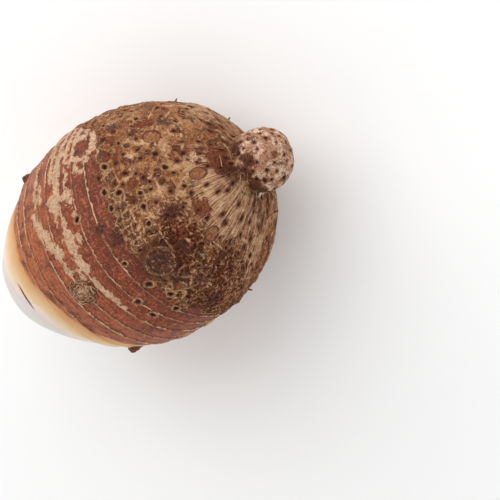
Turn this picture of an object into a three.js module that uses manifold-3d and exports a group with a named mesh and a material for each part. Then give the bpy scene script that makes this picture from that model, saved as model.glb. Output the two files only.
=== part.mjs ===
// A purple taro corm, lying on its flank as it rests on a table.
// Millimetres, +Z up. +X runs from the trimmed crown, where the leaves stood, to the knob at the root end.
// The origin is on the surface that it rests on, under the middle of its bounding box.
//
// A place on the skin has two coordinates:
//   station  distance along the corm, 0 at its widest place, less than 0 towards the crown
//   around   angle about its axis in radians, 0 on top and a quarter turn towards +Y
// The whole corm grew as one piece, so it is one closed solid, and everything on it is fused to it.

import * as THREE from "three";
import { mergeVertices } from "three/addons/utils/BufferGeometryUtils.js";
import Module from "manifold-3d";

const { degToRad, smoothstep } = THREE.MathUtils;

// The body: two half superellipses of one radius, blunt at the root end and drawn out at the crown.
const BODY_RADIUS = 64.6;
const CROWN_REACH = 87.0;
const CROWN_POWER = 1.64;
const ROOT_REACH = 82.2;
const ROOT_POWER = 2.13;

// The crown is trimmed flat, and the knob is a short skirt with a dome on it, past a pinched neck.
const CROWN_CUT = -77.5;
const NECK_STATION = 79.5;
const KNOB_CENTRE = 87.6;
const KNOB_RADIUS = 18.0;
const NECK_PINCH = 1.5;
const BEND_START = 45.0;
const BEND_ANGLE = degToRad(2.5);

// The underside is worn to a small flat spot this far above the lowest point of the round body.
const FLAT_SPOT_DEPTH = 2.2;

// Leaf scars: rings that run obliquely, lower round the back than on top, and lowest on the -Y side.
const CROWN_RINGS = [-45, -38, -27, -19, -9, 1.5, 11.3, 22.5];
const ROOT_RINGS = [31, 40, 49, 57.5, 65];
const RING_HEIGHT = 1.0;
const ROOT_RING_HEIGHT = 0.6;
const RING_HALF_WIDTH = 1.5;
const BAND_BULGE = 0.45;
const RING_SLANT = { reach: 16.0, station: -14.0, spread: 32.0, flattening: 0.9 };
const RING_SKEW = { reach: 8.5, station: -2.0, spread: 30.0 };

// Leaf sheaths at the crown: steps on the trimmed face, and one gap on the flank behind it.
const SHEATH_RADII = [17.0, 12.2, 7.4];
const SHEATH_STEP = 1.3;
const SHEATH_EDGE = 0.3;
const SLIT = { station: -61.5, around: degToRad(-7), halfAngle: degToRad(17), depth: 2.0, halfWidth: 1.4 };

// Rings and the slit fade out where the corm is narrower than this, and swells where it is narrower still.
const RELIEF_FADE = { fromRadius: 15, toRadius: 30 };
const SWELL_FADE = { fromRadius: 6, toRadius: 40 };

// Slow swells keep the corm from being a turned shape. It is fullest on the -Y side of the root half,
// and flatter on that side by the knob and on the +Y side of the middle.
const SIDE_FULLNESS = { height: 1.3, station: 36, spread: 30 };
const LEFT_HOLLOW = { depth: 0.8, station: -8, spread: 22 };
const RIGHT_HOLLOW = { depth: 2.2, fromStation: 48, toStation: 72 };
// Waves round the corm: how high, how many, where they start, and how far along it they turn one radian.
const BODY_WAVES = [
  { height: 0.6, count: 2, start: -2.2, pitch: 40 },
  { height: 0.5, count: 3, start: -1.3, pitch: -28 },
];
const RIPPLE = { height: 0.35, count: 7, pitch: 9, beatPitch: 11 };
const KNOB_WAVES = [
  { height: 0.4, count: 1, start: -2.9, pitch: Infinity },
  { height: 0.6, count: 2, start: 2.0, pitch: Infinity },
  { height: 0.5, count: 3, start: 5.0, pitch: 7 },
];
const KNOB_TIP_FADE = 12;

// Root scars: a pit where a root came out, often inside a raised corky rim.
// Lengths are for a scar of size 1.
const PIT_RADIUS = 1.05;
const PIT_DEPTH = 2.0;
const PIT_SIDES = 4;
const RIM_RADIUS = 2.5;
const RIM_TOP_RADIUS = 1.42;
const RIM_HEIGHT = 0.75;
const RIM_SIDES = 5;
const SMALLEST_SCAR = 0.75;
const SCAR_SIZE_RANGE = 0.45;
// How far a pit's cutter stands out of a rim, and out of bare skin.
const CUTTER_OVER_RIM = 0.2;
const CUTTER_OVER_SKIN = 0.5;

// Rows of scars drawn at random: station, and how many are tried.
const SCAR_SEED = 20417;
const SCAR_ROWS = [
  [15, 6],
  [22, 11],
  [31, 13],
  [40, 13],
  [49, 13],
  [57.5, 13],
  [65, 12],
  [72, 8],
  [85, 5],
  [96, 6],
  [104, 2],
];
const ROW_SCATTER = 7.0;
const COLUMN_SCATTER = 0.7;
const RIMMED_SHARE = 0.35;
const SCAR_SPACING = 7.0;
const SCAR_CLEARANCE = 3.0;
const NECK_CLEARANCE = 2.5;
const SPOT_CLEARANCE = 4.0;

// Scars that stand out on the top side, where none is drawn at random:
// station, degrees around, size, and whether it has a rim.
const TOP_SCARS = [
  [0.5, 17, 1.3, true],
  [19.5, 32, 1.1, false],
  [21, 23.5, 1.3, true],
  [22, 14, 1.2, true],
  [24.5, 36.5, 1.2, true],
  [31, 36.5, 1.0, false],
  [35, 29, 1.2, false],
  [44, 41, 0.9, false],
  [48.5, 38, 1.15, false],
  [52.5, 35.5, 1.2, false],
  [55.5, 25, 1.2, true],
  [43.5, 23, 0.9, false],
  [39.5, 15, 1.0, true],
  [29, 20, 1.3, true],
  [38.5, 7.5, 1.1, true],
  [37, -2, 1.0, true],
  [61, 8.5, 0.9, false],
  [65, 33.5, 1.1, false],
  [13.5, -13.5, 1.0, true],
  [16, -29, 1.4, true],
  [1.5, -34, 1.4, true],
  [-1.5, -45.5, 1.3, true],
  [20.5, -40, 1.4, true],
  [12.5, -49.5, 1.3, true],
  [25.5, -48.5, 1.0, false],
  [62.5, -19, 0.9, false],
  [66.5, -33, 1.0, false],
  [62, -46.5, 1.0, false],
  [71.5, -46.5, 0.9, false],
  [62, 54, 0.9, false],
];
const TOP_SIDE = { fromStation: 4, toStation: 77, halfAngle: degToRad(62) };

// Forms added to the skin are sunk this deep in it.
const SUNK = 2.5;
const RIM_SUNK = 1.2;

// Round scars where side corms broke off: station, degrees around, radius.
const BROKEN_OFFSETS = [
  [30.5, -22, 9.4],
  [-4, 152, 7.5],
  [44, -128, 8.2],
];
// Their half outline, a low rim with a dished middle: share of the radius, and height.
const BROKEN_PROFILE = [
  [1.05, -SUNK],
  [0.86, 1.3],
  [0.62, 0.98],
  [0.4, 0.25],
  [0, 0.55],
];
const BROKEN_SIDES = 12;

// Smooth sunk discs where a thick root came off clean: station, degrees around, radius.
const SMOOTH_DISCS = [
  [68.5, 14.5, 3.4],
  [59.5, -30, 3.7],
  [51.5, 49.5, 4.4],
  [36, 104, 3.8],
  [58, -100, 4.0],
  [24, 196, 3.6],
];
const DISC_DEPTH = 0.7;
const DISC_CUTTER_HEIGHT = 3;
const DISC_FLOOR_SHARE = 0.9;
const DISC_SIDES = 9;

// Buds in the leaf axils lean towards the crown: station, degrees around, base radius, height.
const BUDS = [
  [-19.5, -16.5, 5.4, 3.6],
  [-42, 75, 3.4, 3.4],
  [-38, -78, 3.8, 3.6],
  [-27, 128, 4.2, 5.0],
  [2, -112, 4.4, 4.8],
];
const BUD_LEAN = 0.45;
// A bud's half outline above its sunk base: share of its radius, and share of its height.
const BUD_PROFILE = [
  [1, 0.05],
  [0.8, 0.5],
  [0.34, 0.88],
  [0, 1],
];
const BUD_BASE_SHARE = 1.15;
const BUD_SIDES = 9;

// Dry stubs of roots lean towards the root end: station, degrees around, length.
const ROOT_STUBS = [
  [61.5, 76.5, 4.6],
  [65, 69, 3.2],
  [71, -74, 4.8],
  [50, 106, 3.0],
  [36, -97, 3.4],
  [73, -112, 4.2],
  [64, 138, 4.4],
  [45, 150, 3.2],
  [69, -158, 3.6],
  [27, -140, 2.8],
];
const STUB_RADIUS = 0.95;
const STUB_SUNK = 1.5;
const STUB_LEAN = -0.2;
const STUB_SIDES = 4;

// Mesh columns round the corm, and mesh rows besides those on the rings.
const COLUMNS = 48;
const SHEATH_ROW_GAP = 0.4;
const CROWN_ROWS = [-74, -68, -55, -50];
const NECK_ROW_OFFSETS = [-9, -4.8, -1.8, 0, 2.6, 5.4];
const DOME_ROW_SHARES = [0, 0.25, 0.47, 0.68, 0.86];

// The skin's direction is measured over this distance, and never round less than this radius.
const NORMAL_STEP = 0.8;
const NORMAL_LEAST_RADIUS = 4;

const SKIN_COLOUR = 0x9a6440;

// A seeded generator of numbers from 0 to 1, so that every run places the scars alike.
function seededRandom(seed) {
  let state = seed >>> 0;
  return () => {
    state = (state + 0x6d2b79f5) >>> 0;
    let mixed = Math.imul(state ^ (state >>> 15), state | 1);
    mixed ^= mixed + Math.imul(mixed ^ (mixed >>> 7), mixed | 61);
    return ((mixed ^ (mixed >>> 14)) >>> 0) / 2 ** 32;
  };
}

function wrapped(angle) {
  return Math.atan2(Math.sin(angle), Math.cos(angle));
}

function bell(value, middle, spread) {
  return Math.exp(-(((value - middle) / spread) ** 2));
}

function bodyRadius(station) {
  const reach = station < 0 ? CROWN_REACH : ROOT_REACH;
  const power = station < 0 ? CROWN_POWER : ROOT_POWER;
  const share = Math.min(Math.abs(station) / reach, 1);
  return BODY_RADIUS * (1 - share ** power) ** (1 / power);
}

// Where the crown's face meets the axis, and where the dome does, as stations.
const CUT_RADIUS = bodyRadius(CROWN_CUT);
const FACE_CENTRE = CROWN_CUT - CUT_RADIUS;
const KNOB_TIP = KNOB_CENTRE + (KNOB_RADIUS * Math.PI) / 2;

// The trimmed face steps in towards the shoot at each leaf sheath.
function faceDepth(radius) {
  return SHEATH_RADII.reduce((depth, edge) => {
    const inside = smoothstep(edge - radius, -SHEATH_EDGE, SHEATH_EDGE);
    return depth + SHEATH_STEP * inside * (edge / CUT_RADIUS);
  }, 0);
}

// The outline that is swept round the axis: how far along the axis a station is, and how far out.
function outline(station) {
  if (station < CROWN_CUT) {
    const radius = station - FACE_CENTRE;
    return { along: CROWN_CUT + faceDepth(radius), radius };
  }
  if (station <= NECK_STATION) return { along: station, radius: bodyRadius(station) };
  if (station <= KNOB_CENTRE) {
    const share = (station - NECK_STATION) / (KNOB_CENTRE - NECK_STATION);
    const pinch = NECK_PINCH * Math.sin(Math.PI * Math.sqrt(share)) ** 2;
    const start = bodyRadius(NECK_STATION);
    return { along: station, radius: start + (KNOB_RADIUS - start) * share - pinch };
  }
  const turn = (station - KNOB_CENTRE) / KNOB_RADIUS;
  return { along: KNOB_CENTRE + KNOB_RADIUS * Math.sin(turn), radius: KNOB_RADIUS * Math.cos(turn) };
}

// How far a ring slips towards the root end, away from its place on top of the corm.
function slant(station, around) {
  const turned = Math.sin(around / 2) ** 2;
  const even = (2 * turned) / (1 + RING_SLANT.flattening * turned);
  const skewed = Math.min(Math.sin(around), 0) ** 2;
  return (
    RING_SLANT.reach * even * bell(station, RING_SLANT.station, RING_SLANT.spread) +
    RING_SKEW.reach * skewed * bell(station, RING_SKEW.station, RING_SKEW.spread)
  );
}

// Thin raised rings with gently bulging bands of skin between them.
function ringRelief(station) {
  const rings = [...CROWN_RINGS, ...ROOT_RINGS];
  const next = rings.findIndex((ring) => ring > station);
  const ridge = rings.reduce((height, ring, i) => {
    const off = Math.abs(station - ring) / RING_HALF_WIDTH;
    const full = i < CROWN_RINGS.length ? RING_HEIGHT : ROOT_RING_HEIGHT;
    return height + full * Math.max(1 - off, 0);
  }, 0);
  if (next < 1) return ridge;
  const share = (station - rings[next - 1]) / (rings[next] - rings[next - 1]);
  return ridge + BAND_BULGE * Math.sin(Math.PI * share);
}

function waves(list, station, around) {
  return list.reduce((height, wave) => {
    const turn = wave.count * around + wave.start + station / wave.pitch;
    return height + wave.height * Math.sin(turn);
  }, 0);
}

function swell(station, around, radius) {
  const left = (0.5 + 0.5 * Math.sin(around)) ** 2;
  const right = (0.5 - 0.5 * Math.sin(around)) ** 2;
  const fullness = SIDE_FULLNESS.height * bell(station, SIDE_FULLNESS.station, SIDE_FULLNESS.spread);
  const side = -Math.sin(around) * fullness;
  const leftHollow = left * LEFT_HOLLOW.depth * bell(station, LEFT_HOLLOW.station, LEFT_HOLLOW.spread);
  const rightHollow =
    right * RIGHT_HOLLOW.depth * smoothstep(station, RIGHT_HOLLOW.fromStation, RIGHT_HOLLOW.toStation);
  const beat = Math.sin(station / RIPPLE.beatPitch + around);
  const ripple = RIPPLE.height * Math.sin(RIPPLE.count * around + station / RIPPLE.pitch) * beat;
  const height = side - leftHollow - rightHollow + waves(BODY_WAVES, station, around) + ripple;
  return height * smoothstep(radius, SWELL_FADE.fromRadius, SWELL_FADE.toRadius);
}

function knobSwell(station, around) {
  const atNeck = smoothstep(station, NECK_STATION, KNOB_CENTRE);
  const atTip = smoothstep(KNOB_TIP - station, 0, KNOB_TIP_FADE);
  return atNeck * atTip * waves(KNOB_WAVES, station, around);
}

function slitDepth(station, around) {
  const off = Math.abs(station - SLIT.station) / SLIT.halfWidth;
  const side = Math.abs(around - SLIT.around) / SLIT.halfAngle;
  return off < 1 && side < 1 ? SLIT.depth * (1 - off) * (1 - side * side) : 0;
}

// A point of the skin, before the corm is laid on the surface. The root end bends up a little.
function skinPoint(station, around) {
  const onBody = station > CROWN_CUT && station < NECK_STATION;
  const slipped = onBody ? Math.min(station + slant(station, around), NECK_STATION) : station;
  const { along, radius } = outline(slipped);
  let out = radius;
  if (onBody) {
    const relief = ringRelief(station) - slitDepth(station, around);
    out += smoothstep(radius, RELIEF_FADE.fromRadius, RELIEF_FADE.toRadius) * relief;
    out += swell(station, around, radius);
  }
  if (station >= NECK_STATION) out += knobSwell(station, around);
  const bend = BEND_ANGLE * smoothstep(along, BEND_START, NECK_STATION);
  const height = out * Math.cos(around);
  const arm = Math.max(along - BEND_START, 0);
  return new THREE.Vector3(
    Math.min(along, BEND_START) + arm * Math.cos(bend) - height * Math.sin(bend),
    out * Math.sin(around),
    arm * Math.sin(bend) + height * Math.cos(bend),
  );
}

// The direction straight out of the skin, square to both coordinates.
function skinNormal(station, around) {
  const turn = NORMAL_STEP / Math.max(outline(station).radius, NORMAL_LEAST_RADIUS);
  const alongSkin = skinPoint(station + NORMAL_STEP, around).sub(skinPoint(station - NORMAL_STEP, around));
  const aroundSkin = skinPoint(station, around + turn).sub(skinPoint(station, around - turn));
  return alongSkin.cross(aroundSkin).normalize();
}

// The stations of the mesh rows: three on each clear ring and one between, fewer where cork hides them.
function rowStations() {
  const rows = [CROWN_CUT, ...CROWN_ROWS];
  for (const edge of SHEATH_RADII) {
    rows.push(FACE_CENTRE + edge - SHEATH_ROW_GAP, FACE_CENTRE + edge + SHEATH_ROW_GAP);
  }
  rows.push(SLIT.station - SLIT.halfWidth, SLIT.station, SLIT.station + SLIT.halfWidth);
  CROWN_RINGS.forEach((ring, i) => {
    const next = CROWN_RINGS[i + 1] ?? ROOT_RINGS[0];
    rows.push(ring - RING_HALF_WIDTH, ring, ring + RING_HALF_WIDTH, (ring + next) / 2);
  });
  ROOT_RINGS.forEach((ring, i) => {
    rows.push(ring);
    if (i + 1 < ROOT_RINGS.length) rows.push((ring + ROOT_RINGS[i + 1]) / 2);
  });
  for (const offset of NECK_ROW_OFFSETS) rows.push(NECK_STATION + offset);
  for (const share of DOME_ROW_SHARES) rows.push(KNOB_CENTRE + share * (KNOB_TIP - KNOB_CENTRE));
  return rows.sort((a, b) => a - b);
}

// The closed skin: rings of points joined by strips, with one point at each end of the axis.
function skinGeometry() {
  const rows = rowStations();
  const positions = [];
  const triangles = [];
  for (const station of rows) {
    for (let column = 0; column < COLUMNS; column++) {
      positions.push(...skinPoint(station, wrapped((column / COLUMNS) * 2 * Math.PI)));
    }
  }
  for (let row = 0; row + 1 < rows.length; row++) {
    for (let column = 0; column < COLUMNS; column++) {
      const here = row * COLUMNS + column;
      const beside = row * COLUMNS + ((column + 1) % COLUMNS);
      triangles.push(here, here + COLUMNS, beside, beside, here + COLUMNS, beside + COLUMNS);
    }
  }
  const crownPole = positions.length / 3;
  positions.push(...skinPoint(FACE_CENTRE, 0), ...skinPoint(KNOB_TIP, 0));
  const lastRow = (rows.length - 1) * COLUMNS;
  for (let column = 0; column < COLUMNS; column++) {
    const beside = (column + 1) % COLUMNS;
    triangles.push(crownPole, column, beside);
    triangles.push(crownPole + 1, lastRow + beside, lastRow + column);
  }
  const geometry = new THREE.BufferGeometry();
  geometry.setAttribute("position", new THREE.Float32BufferAttribute(positions, 3));
  geometry.setIndex(triangles);
  return geometry;
}

// Puts a shape made about +Y on the skin, with its +Y straight out, sunk or raised by a height.
function onSkin(geometry, station, around, height, lean = 0) {
  const outward = skinNormal(station, around);
  const axis = outward.clone().add(new THREE.Vector3(-lean, 0, 0)).normalize();
  const turn = new THREE.Quaternion().setFromUnitVectors(new THREE.Vector3(0, 1, 0), axis);
  const place = skinPoint(station, around).addScaledVector(axis, height);
  geometry.applyMatrix4(new THREE.Matrix4().compose(place, turn, new THREE.Vector3(1, 1, 1)));
  return geometry;
}

// Random places in rows along the rings, no two closer than a spacing, and clear of the large features.
function scarPlaces() {
  const random = seededRandom(SCAR_SEED);
  const places = TOP_SCARS.map(([station, degrees, size, rimmed]) => ({
    station,
    around: degToRad(degrees),
    size,
    rimmed,
  }));
  const points = places.map(({ station, around }) => skinPoint(station, around));
  const blocked = [...BROKEN_OFFSETS, ...SMOOTH_DISCS, ...BUDS].map(([station, degrees, radius]) => ({
    point: skinPoint(station, degToRad(degrees)),
    radius: radius + SCAR_CLEARANCE,
  }));
  for (const [ring, count] of SCAR_ROWS) {
    const start = random() * 2 * Math.PI;
    for (let i = 0; i < count; i++) {
      const station = ring + (random() - 0.5) * ROW_SCATTER;
      const around = wrapped(start + ((i + COLUMN_SCATTER * random()) / count) * 2 * Math.PI);
      const size = SMALLEST_SCAR + SCAR_SIZE_RANGE * random();
      const rimmed = random() < RIMMED_SHARE;
      const point = skinPoint(station, around);
      const nearNeck = Math.abs(station - NECK_STATION) < NECK_CLEARANCE;
      const onFlatSpot = point.z < FLAT_SPOT_DEPTH + SPOT_CLEARANCE - BODY_RADIUS;
      const besideTop = station > TOP_SIDE.fromStation && station < TOP_SIDE.toStation;
      const onTopSide = besideTop && Math.abs(around) < TOP_SIDE.halfAngle;
      const tooClose = points.some((other) => other.distanceTo(point) < SCAR_SPACING);
      const onFeature = blocked.some((other) => other.point.distanceTo(point) < other.radius);
      if (nearNeck || onFlatSpot || onTopSide || tooClose || onFeature) continue;
      points.push(point);
      places.push({ station, around, size, rimmed });
    }
  }
  return places;
}

function rimGeometry(size) {
  const height = RIM_HEIGHT * size + RIM_SUNK;
  const geometry = new THREE.CylinderGeometry(RIM_TOP_RADIUS * size, RIM_RADIUS * size, height, RIM_SIDES);
  return geometry.translate(0, height / 2 - RIM_SUNK, 0);
}

// A cone, point down, that cuts a pit and stands out of the skin by its top.
function pitGeometry(size, top) {
  const depth = PIT_DEPTH * size;
  const height = depth + top;
  const geometry = new THREE.ConeGeometry((PIT_RADIUS * size * height) / depth, height, PIT_SIDES);
  return geometry.rotateX(Math.PI).translate(0, top - height / 2, 0);
}

// A closed form turned from its half outline, which starts on the axis at its sunk base.
function turned(outlinePoints, sides) {
  const points = [[0, -SUNK], ...outlinePoints];
  const profile = points.map(([radius, height]) => new THREE.Vector2(radius, height));
  return new THREE.LatheGeometry(profile, sides);
}

function brokenOffsetGeometry(radius) {
  const points = BROKEN_PROFILE.map(([share, height]) => [share * radius, height]);
  return turned(points, BROKEN_SIDES);
}

function budGeometry(radius, height) {
  const points = BUD_PROFILE.map(([wide, high]) => [wide * radius, high * height]);
  return turned([[BUD_BASE_SHARE * radius, -SUNK], ...points], BUD_SIDES);
}

const wasm = await Module();
wasm.setup();

// A closed geometry as a solid that can be joined and cut.
function solidOf(geometry) {
  geometry.deleteAttribute("normal");
  geometry.deleteAttribute("uv");
  const merged = mergeVertices(geometry, 1e-4);
  return new wasm.Manifold(
    new wasm.Mesh({
      numProp: 3,
      vertProperties: merged.attributes.position.array,
      triVerts: new Uint32Array(merged.index.array),
    }),
  );
}

function addScars(corm) {
  let solid = corm;
  for (const { station, around, size, rimmed } of scarPlaces()) {
    const top = rimmed ? RIM_HEIGHT * size + CUTTER_OVER_RIM : CUTTER_OVER_SKIN;
    if (rimmed) solid = solid.add(solidOf(onSkin(rimGeometry(size), station, around, 0)));
    solid = solid.subtract(solidOf(onSkin(pitGeometry(size, top), station, around, 0)));
  }
  return solid;
}

function addBrokenOffsets(corm) {
  let solid = corm;
  for (const [station, degrees, radius] of BROKEN_OFFSETS) {
    solid = solid.add(solidOf(onSkin(brokenOffsetGeometry(radius), station, degToRad(degrees), 0)));
  }
  return solid;
}

function cutSmoothDiscs(corm) {
  let solid = corm;
  for (const [station, degrees, radius] of SMOOTH_DISCS) {
    const floorRadius = radius * DISC_FLOOR_SHARE;
    const disc = new THREE.CylinderGeometry(radius, floorRadius, DISC_CUTTER_HEIGHT, DISC_SIDES);
    const height = DISC_CUTTER_HEIGHT / 2 - DISC_DEPTH;
    solid = solid.subtract(solidOf(onSkin(disc, station, degToRad(degrees), height)));
  }
  return solid;
}

function addBuds(corm) {
  let solid = corm;
  for (const [station, degrees, radius, height] of BUDS) {
    const bud = budGeometry(radius, height);
    solid = solid.add(solidOf(onSkin(bud, station, degToRad(degrees), 0, BUD_LEAN)));
  }
  return solid;
}

function addStubs(corm) {
  let solid = corm;
  for (const [station, degrees, length] of ROOT_STUBS) {
    const stub = new THREE.ConeGeometry(STUB_RADIUS, length + STUB_SUNK, STUB_SIDES);
    const height = (length - STUB_SUNK) / 2;
    solid = solid.add(solidOf(onSkin(stub, station, degToRad(degrees), height, STUB_LEAN)));
  }
  return solid;
}

// Everything below the flat spot is taken off by a block that is larger than the corm.
function cutFlatSpot(corm) {
  const side = 4 * BODY_RADIUS;
  const block = new THREE.BoxGeometry(side, side, BODY_RADIUS);
  block.translate(0, 0, FLAT_SPOT_DEPTH - 1.5 * BODY_RADIUS);
  return corm.subtract(solidOf(block));
}

function cormGeometry() {
  let solid = solidOf(skinGeometry());
  solid = addBrokenOffsets(solid);
  solid = cutSmoothDiscs(solid);
  solid = addBuds(solid);
  solid = addStubs(solid);
  solid = addScars(solid);
  solid = cutFlatSpot(solid);
  const { vertProperties, triVerts } = solid.getMesh();
  const geometry = new THREE.BufferGeometry();
  geometry.setAttribute("position", new THREE.Float32BufferAttribute(vertProperties, 3));
  geometry.setIndex(new THREE.BufferAttribute(triVerts, 1));
  geometry.computeBoundingBox();
  const { min, max } = geometry.boundingBox;
  geometry.translate(-(min.x + max.x) / 2, -(min.y + max.y) / 2, -min.z);
  geometry.computeVertexNormals();
  return geometry;
}

const skin = new THREE.MeshStandardMaterial({ color: SKIN_COLOUR, roughness: 0.75, metalness: 0 });
const corm = new THREE.Mesh(cormGeometry(), skin);
corm.name = "taro_corm";

const taro = new THREE.Group();
taro.add(corm);

export default taro;
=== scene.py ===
"""A purple taro corm lying on its flank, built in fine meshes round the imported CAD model.

Lengths are in millimetres until a mesh is written, and then in metres.
A place on the skin has two coordinates, as in the CAD model:
  station  distance along the corm, 0 at its widest place, less than 0 towards the crown
  around   angle about its axis in radians, 0 on top and a quarter turn towards +Y
"""

import math

import bpy
import numpy as np
from mathutils import Matrix, Vector


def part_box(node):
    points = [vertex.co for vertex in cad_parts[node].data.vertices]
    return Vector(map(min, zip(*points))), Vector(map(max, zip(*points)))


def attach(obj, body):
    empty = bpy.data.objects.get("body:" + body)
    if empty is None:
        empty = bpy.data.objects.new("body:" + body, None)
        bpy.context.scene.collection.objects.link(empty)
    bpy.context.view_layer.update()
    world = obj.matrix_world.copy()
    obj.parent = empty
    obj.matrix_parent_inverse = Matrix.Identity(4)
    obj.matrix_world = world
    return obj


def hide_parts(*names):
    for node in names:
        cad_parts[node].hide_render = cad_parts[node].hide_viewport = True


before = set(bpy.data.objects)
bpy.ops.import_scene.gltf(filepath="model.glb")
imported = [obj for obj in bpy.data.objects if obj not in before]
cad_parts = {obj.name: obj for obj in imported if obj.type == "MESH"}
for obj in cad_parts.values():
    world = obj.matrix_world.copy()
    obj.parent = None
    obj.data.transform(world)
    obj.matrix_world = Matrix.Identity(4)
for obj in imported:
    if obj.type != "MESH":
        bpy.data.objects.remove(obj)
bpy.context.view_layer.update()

bl_info = {
    "name": "Taro corm",
    "version": (1, 0, 0),
    "blender": (4, 5, 0),
    "location": "3D View > Sidebar > Taro",
    "description": "Builds a taro corm with its skin, root scars, buds and fibres",
    "category": "Add Mesh",
}

MM = 0.001
NODE = "taro_corm"
BODY = "root"

# The body, the trimmed crown and the knob, as in the CAD model.
BODY_RADIUS = 64.6
CROWN_REACH = 87.0
CROWN_POWER = 1.64
ROOT_REACH = 82.2
ROOT_POWER = 2.13
CROWN_CUT = -77.5
NECK_STATION = 79.5
KNOB_CENTRE = 87.6
KNOB_RADIUS = 18.0
NECK_PINCH = 1.5
BEND_START = 45.0
BEND_ANGLE = math.radians(2.5)

# Leaf scars: raised rings, and how far they slip along the corm round its sides.
CROWN_RINGS = (-45, -38, -27, -19, -9, 1.5, 11.3, 22.5)
ROOT_RINGS = (31, 40, 49, 57.5, 65)
RING_HEIGHT = 1.0
ROOT_RING_HEIGHT = 0.6
RING_HALF_WIDTH = 1.5
RING_SHARPNESS = 1.3
BAND_BULGE = 0.45
RING_SLANT = 16.0
RING_SLANT_STATION = -14.0
RING_SLANT_SPREAD = 32.0
RING_SLANT_FLATTENING = 0.9
RING_SKEW = 8.5
RING_SKEW_STATION = -2.0
RING_SKEW_SPREAD = 30.0

# Leaf sheaths on the trimmed face, and the gap behind it.
SHEATH_RADII = (17.0, 12.2, 7.4)
SHEATH_STEP = 1.3
SHEATH_EDGE = 0.3
SLIT_STATION = -61.5
SLIT_AROUND = math.radians(-7)
SLIT_HALF_ANGLE = math.radians(17)
SLIT_DEPTH = 2.0
SLIT_HALF_WIDTH = 1.4

# Where the corm is narrower than these radii, rings and swells fade out.
RELIEF_FADE = (15, 30)
SWELL_FADE = (6, 40)

# Slow swells: heights, and the stations where each is strongest and how far it spreads.
SIDE_FULLNESS, SIDE_STATION, SIDE_SPREAD = 1.3, 36, 30
LEFT_HOLLOW, LEFT_STATION, LEFT_SPREAD = 0.8, -8, 22
RIGHT_HOLLOW, RIGHT_HOLLOW_STATIONS = 2.2, (48, 72)
# Waves round the corm: height, how many, where they start, and radians of turn for each millimetre along.
BODY_WAVES = ((0.6, 2, -2.2, 1 / 40), (0.5, 3, -1.3, -1 / 28))
KNOB_WAVES = ((0.4, 1, -2.9, 0.0), (0.6, 2, 2.0, 0.0), (0.5, 3, 5.0, 1 / 7))
KNOB_TIP_FADE = 12
KNOB_SKIN_RANGE = (NECK_STATION + 2, NECK_STATION + 8)
RIPPLE, RIPPLE_COUNT, RIPPLE_PITCH, RIPPLE_BEAT = 0.35, 7, 9, 11

# Root scars of the CAD model, drawn by the same rule: station and how many are tried.
SCAR_SEED = 20417
SCAR_SPACING = 7.0
SCAR_ROWS = (
    (15, 6), (22, 11), (31, 13), (40, 13), (49, 13), (57.5, 13), (65, 12), (72, 8), (85, 5), (96, 6),
    (104, 2),
)
ROW_SCATTER = 7.0
COLUMN_SCATTER = 0.7
RIMMED_SHARE = 0.35
SMALLEST_SCAR = 0.75
SCAR_SIZE_RANGE = 0.45
SCAR_CLEARANCE = 3.0
NECK_CLEARANCE = 2.5
SPOT_CLEARANCE = 4.0
FLAT_SPOT_DEPTH = 2.2
RIM_SHARE = 0.55
LOW_RIM = 0.1
# Scars that stand out on the top side: station, degrees around, size, and whether it has a rim.
TOP_SCARS = (
    (0.5, 17, 1.3, True), (19.5, 32, 1.1, False), (21, 23.5, 1.3, True), (22, 14, 1.2, True),
    (24.5, 36.5, 1.2, True), (31, 36.5, 1.0, False), (35, 29, 1.2, False), (44, 41, 0.9, False),
    (48.5, 38, 1.15, False), (52.5, 35.5, 1.2, False), (55.5, 25, 1.2, True), (43.5, 23, 0.9, False),
    (39.5, 15, 1.0, True), (29, 20, 1.3, True), (38.5, 7.5, 1.1, True), (37, -2, 1.0, True),
    (61, 8.5, 0.9, False), (65, 33.5, 1.1, False), (13.5, -13.5, 1.0, True), (16, -29, 1.4, True),
    (1.5, -34, 1.4, True), (-1.5, -45.5, 1.3, True), (20.5, -40, 1.4, True), (12.5, -49.5, 1.3, True),
    (25.5, -48.5, 1.0, False), (62.5, -19, 0.9, False), (66.5, -33, 1.0, False),
    (62, -46.5, 1.0, False), (71.5, -46.5, 0.9, False), (62, 54, 0.9, False),
)
TOP_SIDE_STATIONS = (4, 77)
TOP_SIDE_HALF_ANGLE = math.radians(62)

# Small scars that only the fine mesh has, in the cork and on the knob.
SMALL_SCAR_SEED = 977
SMALL_SCAR_TRIES = 1600
SMALL_SCAR_LIMIT = 300
SMALL_SCAR_SPACING = 3.7
SMALL_SCAR_SIZES = (0.42, 0.85)
SMALL_SCAR_START = -6
SMALL_SCAR_TIP_GAP = 3
SMALL_RIM_ODDS = 0.4
SMALL_RIM_SHARE = 0.4
SMALL_LOW_RIM = 0.05
SMALL_SCAR_NET_GAP = 2.0
SMALL_SCAR_CLEARANCE = 1.5
# They thin out where the corm is narrower than the cut crown over this.
NARROW_THINNING = 1.4
# Those of the knob that show most: station, degrees around, size.
KNOB_SCARS = (
    (86.5, 68, 0.8), (92, 66, 0.6), (95, 52, 0.7), (102.5, 49, 0.8), (97.5, 21, 0.45), (86, -3, 0.8),
    (89.5, -12, 0.8), (88.5, -28, 1.0), (91.5, -39, 1.0), (108.5, 36, 0.5), (104.5, -10, 0.5),
    (102, -24, 0.5), (99.5, -45, 0.55), (107, -66, 0.5), (94.5, -85, 0.5), (104.5, 83, 0.5),
)

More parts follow.
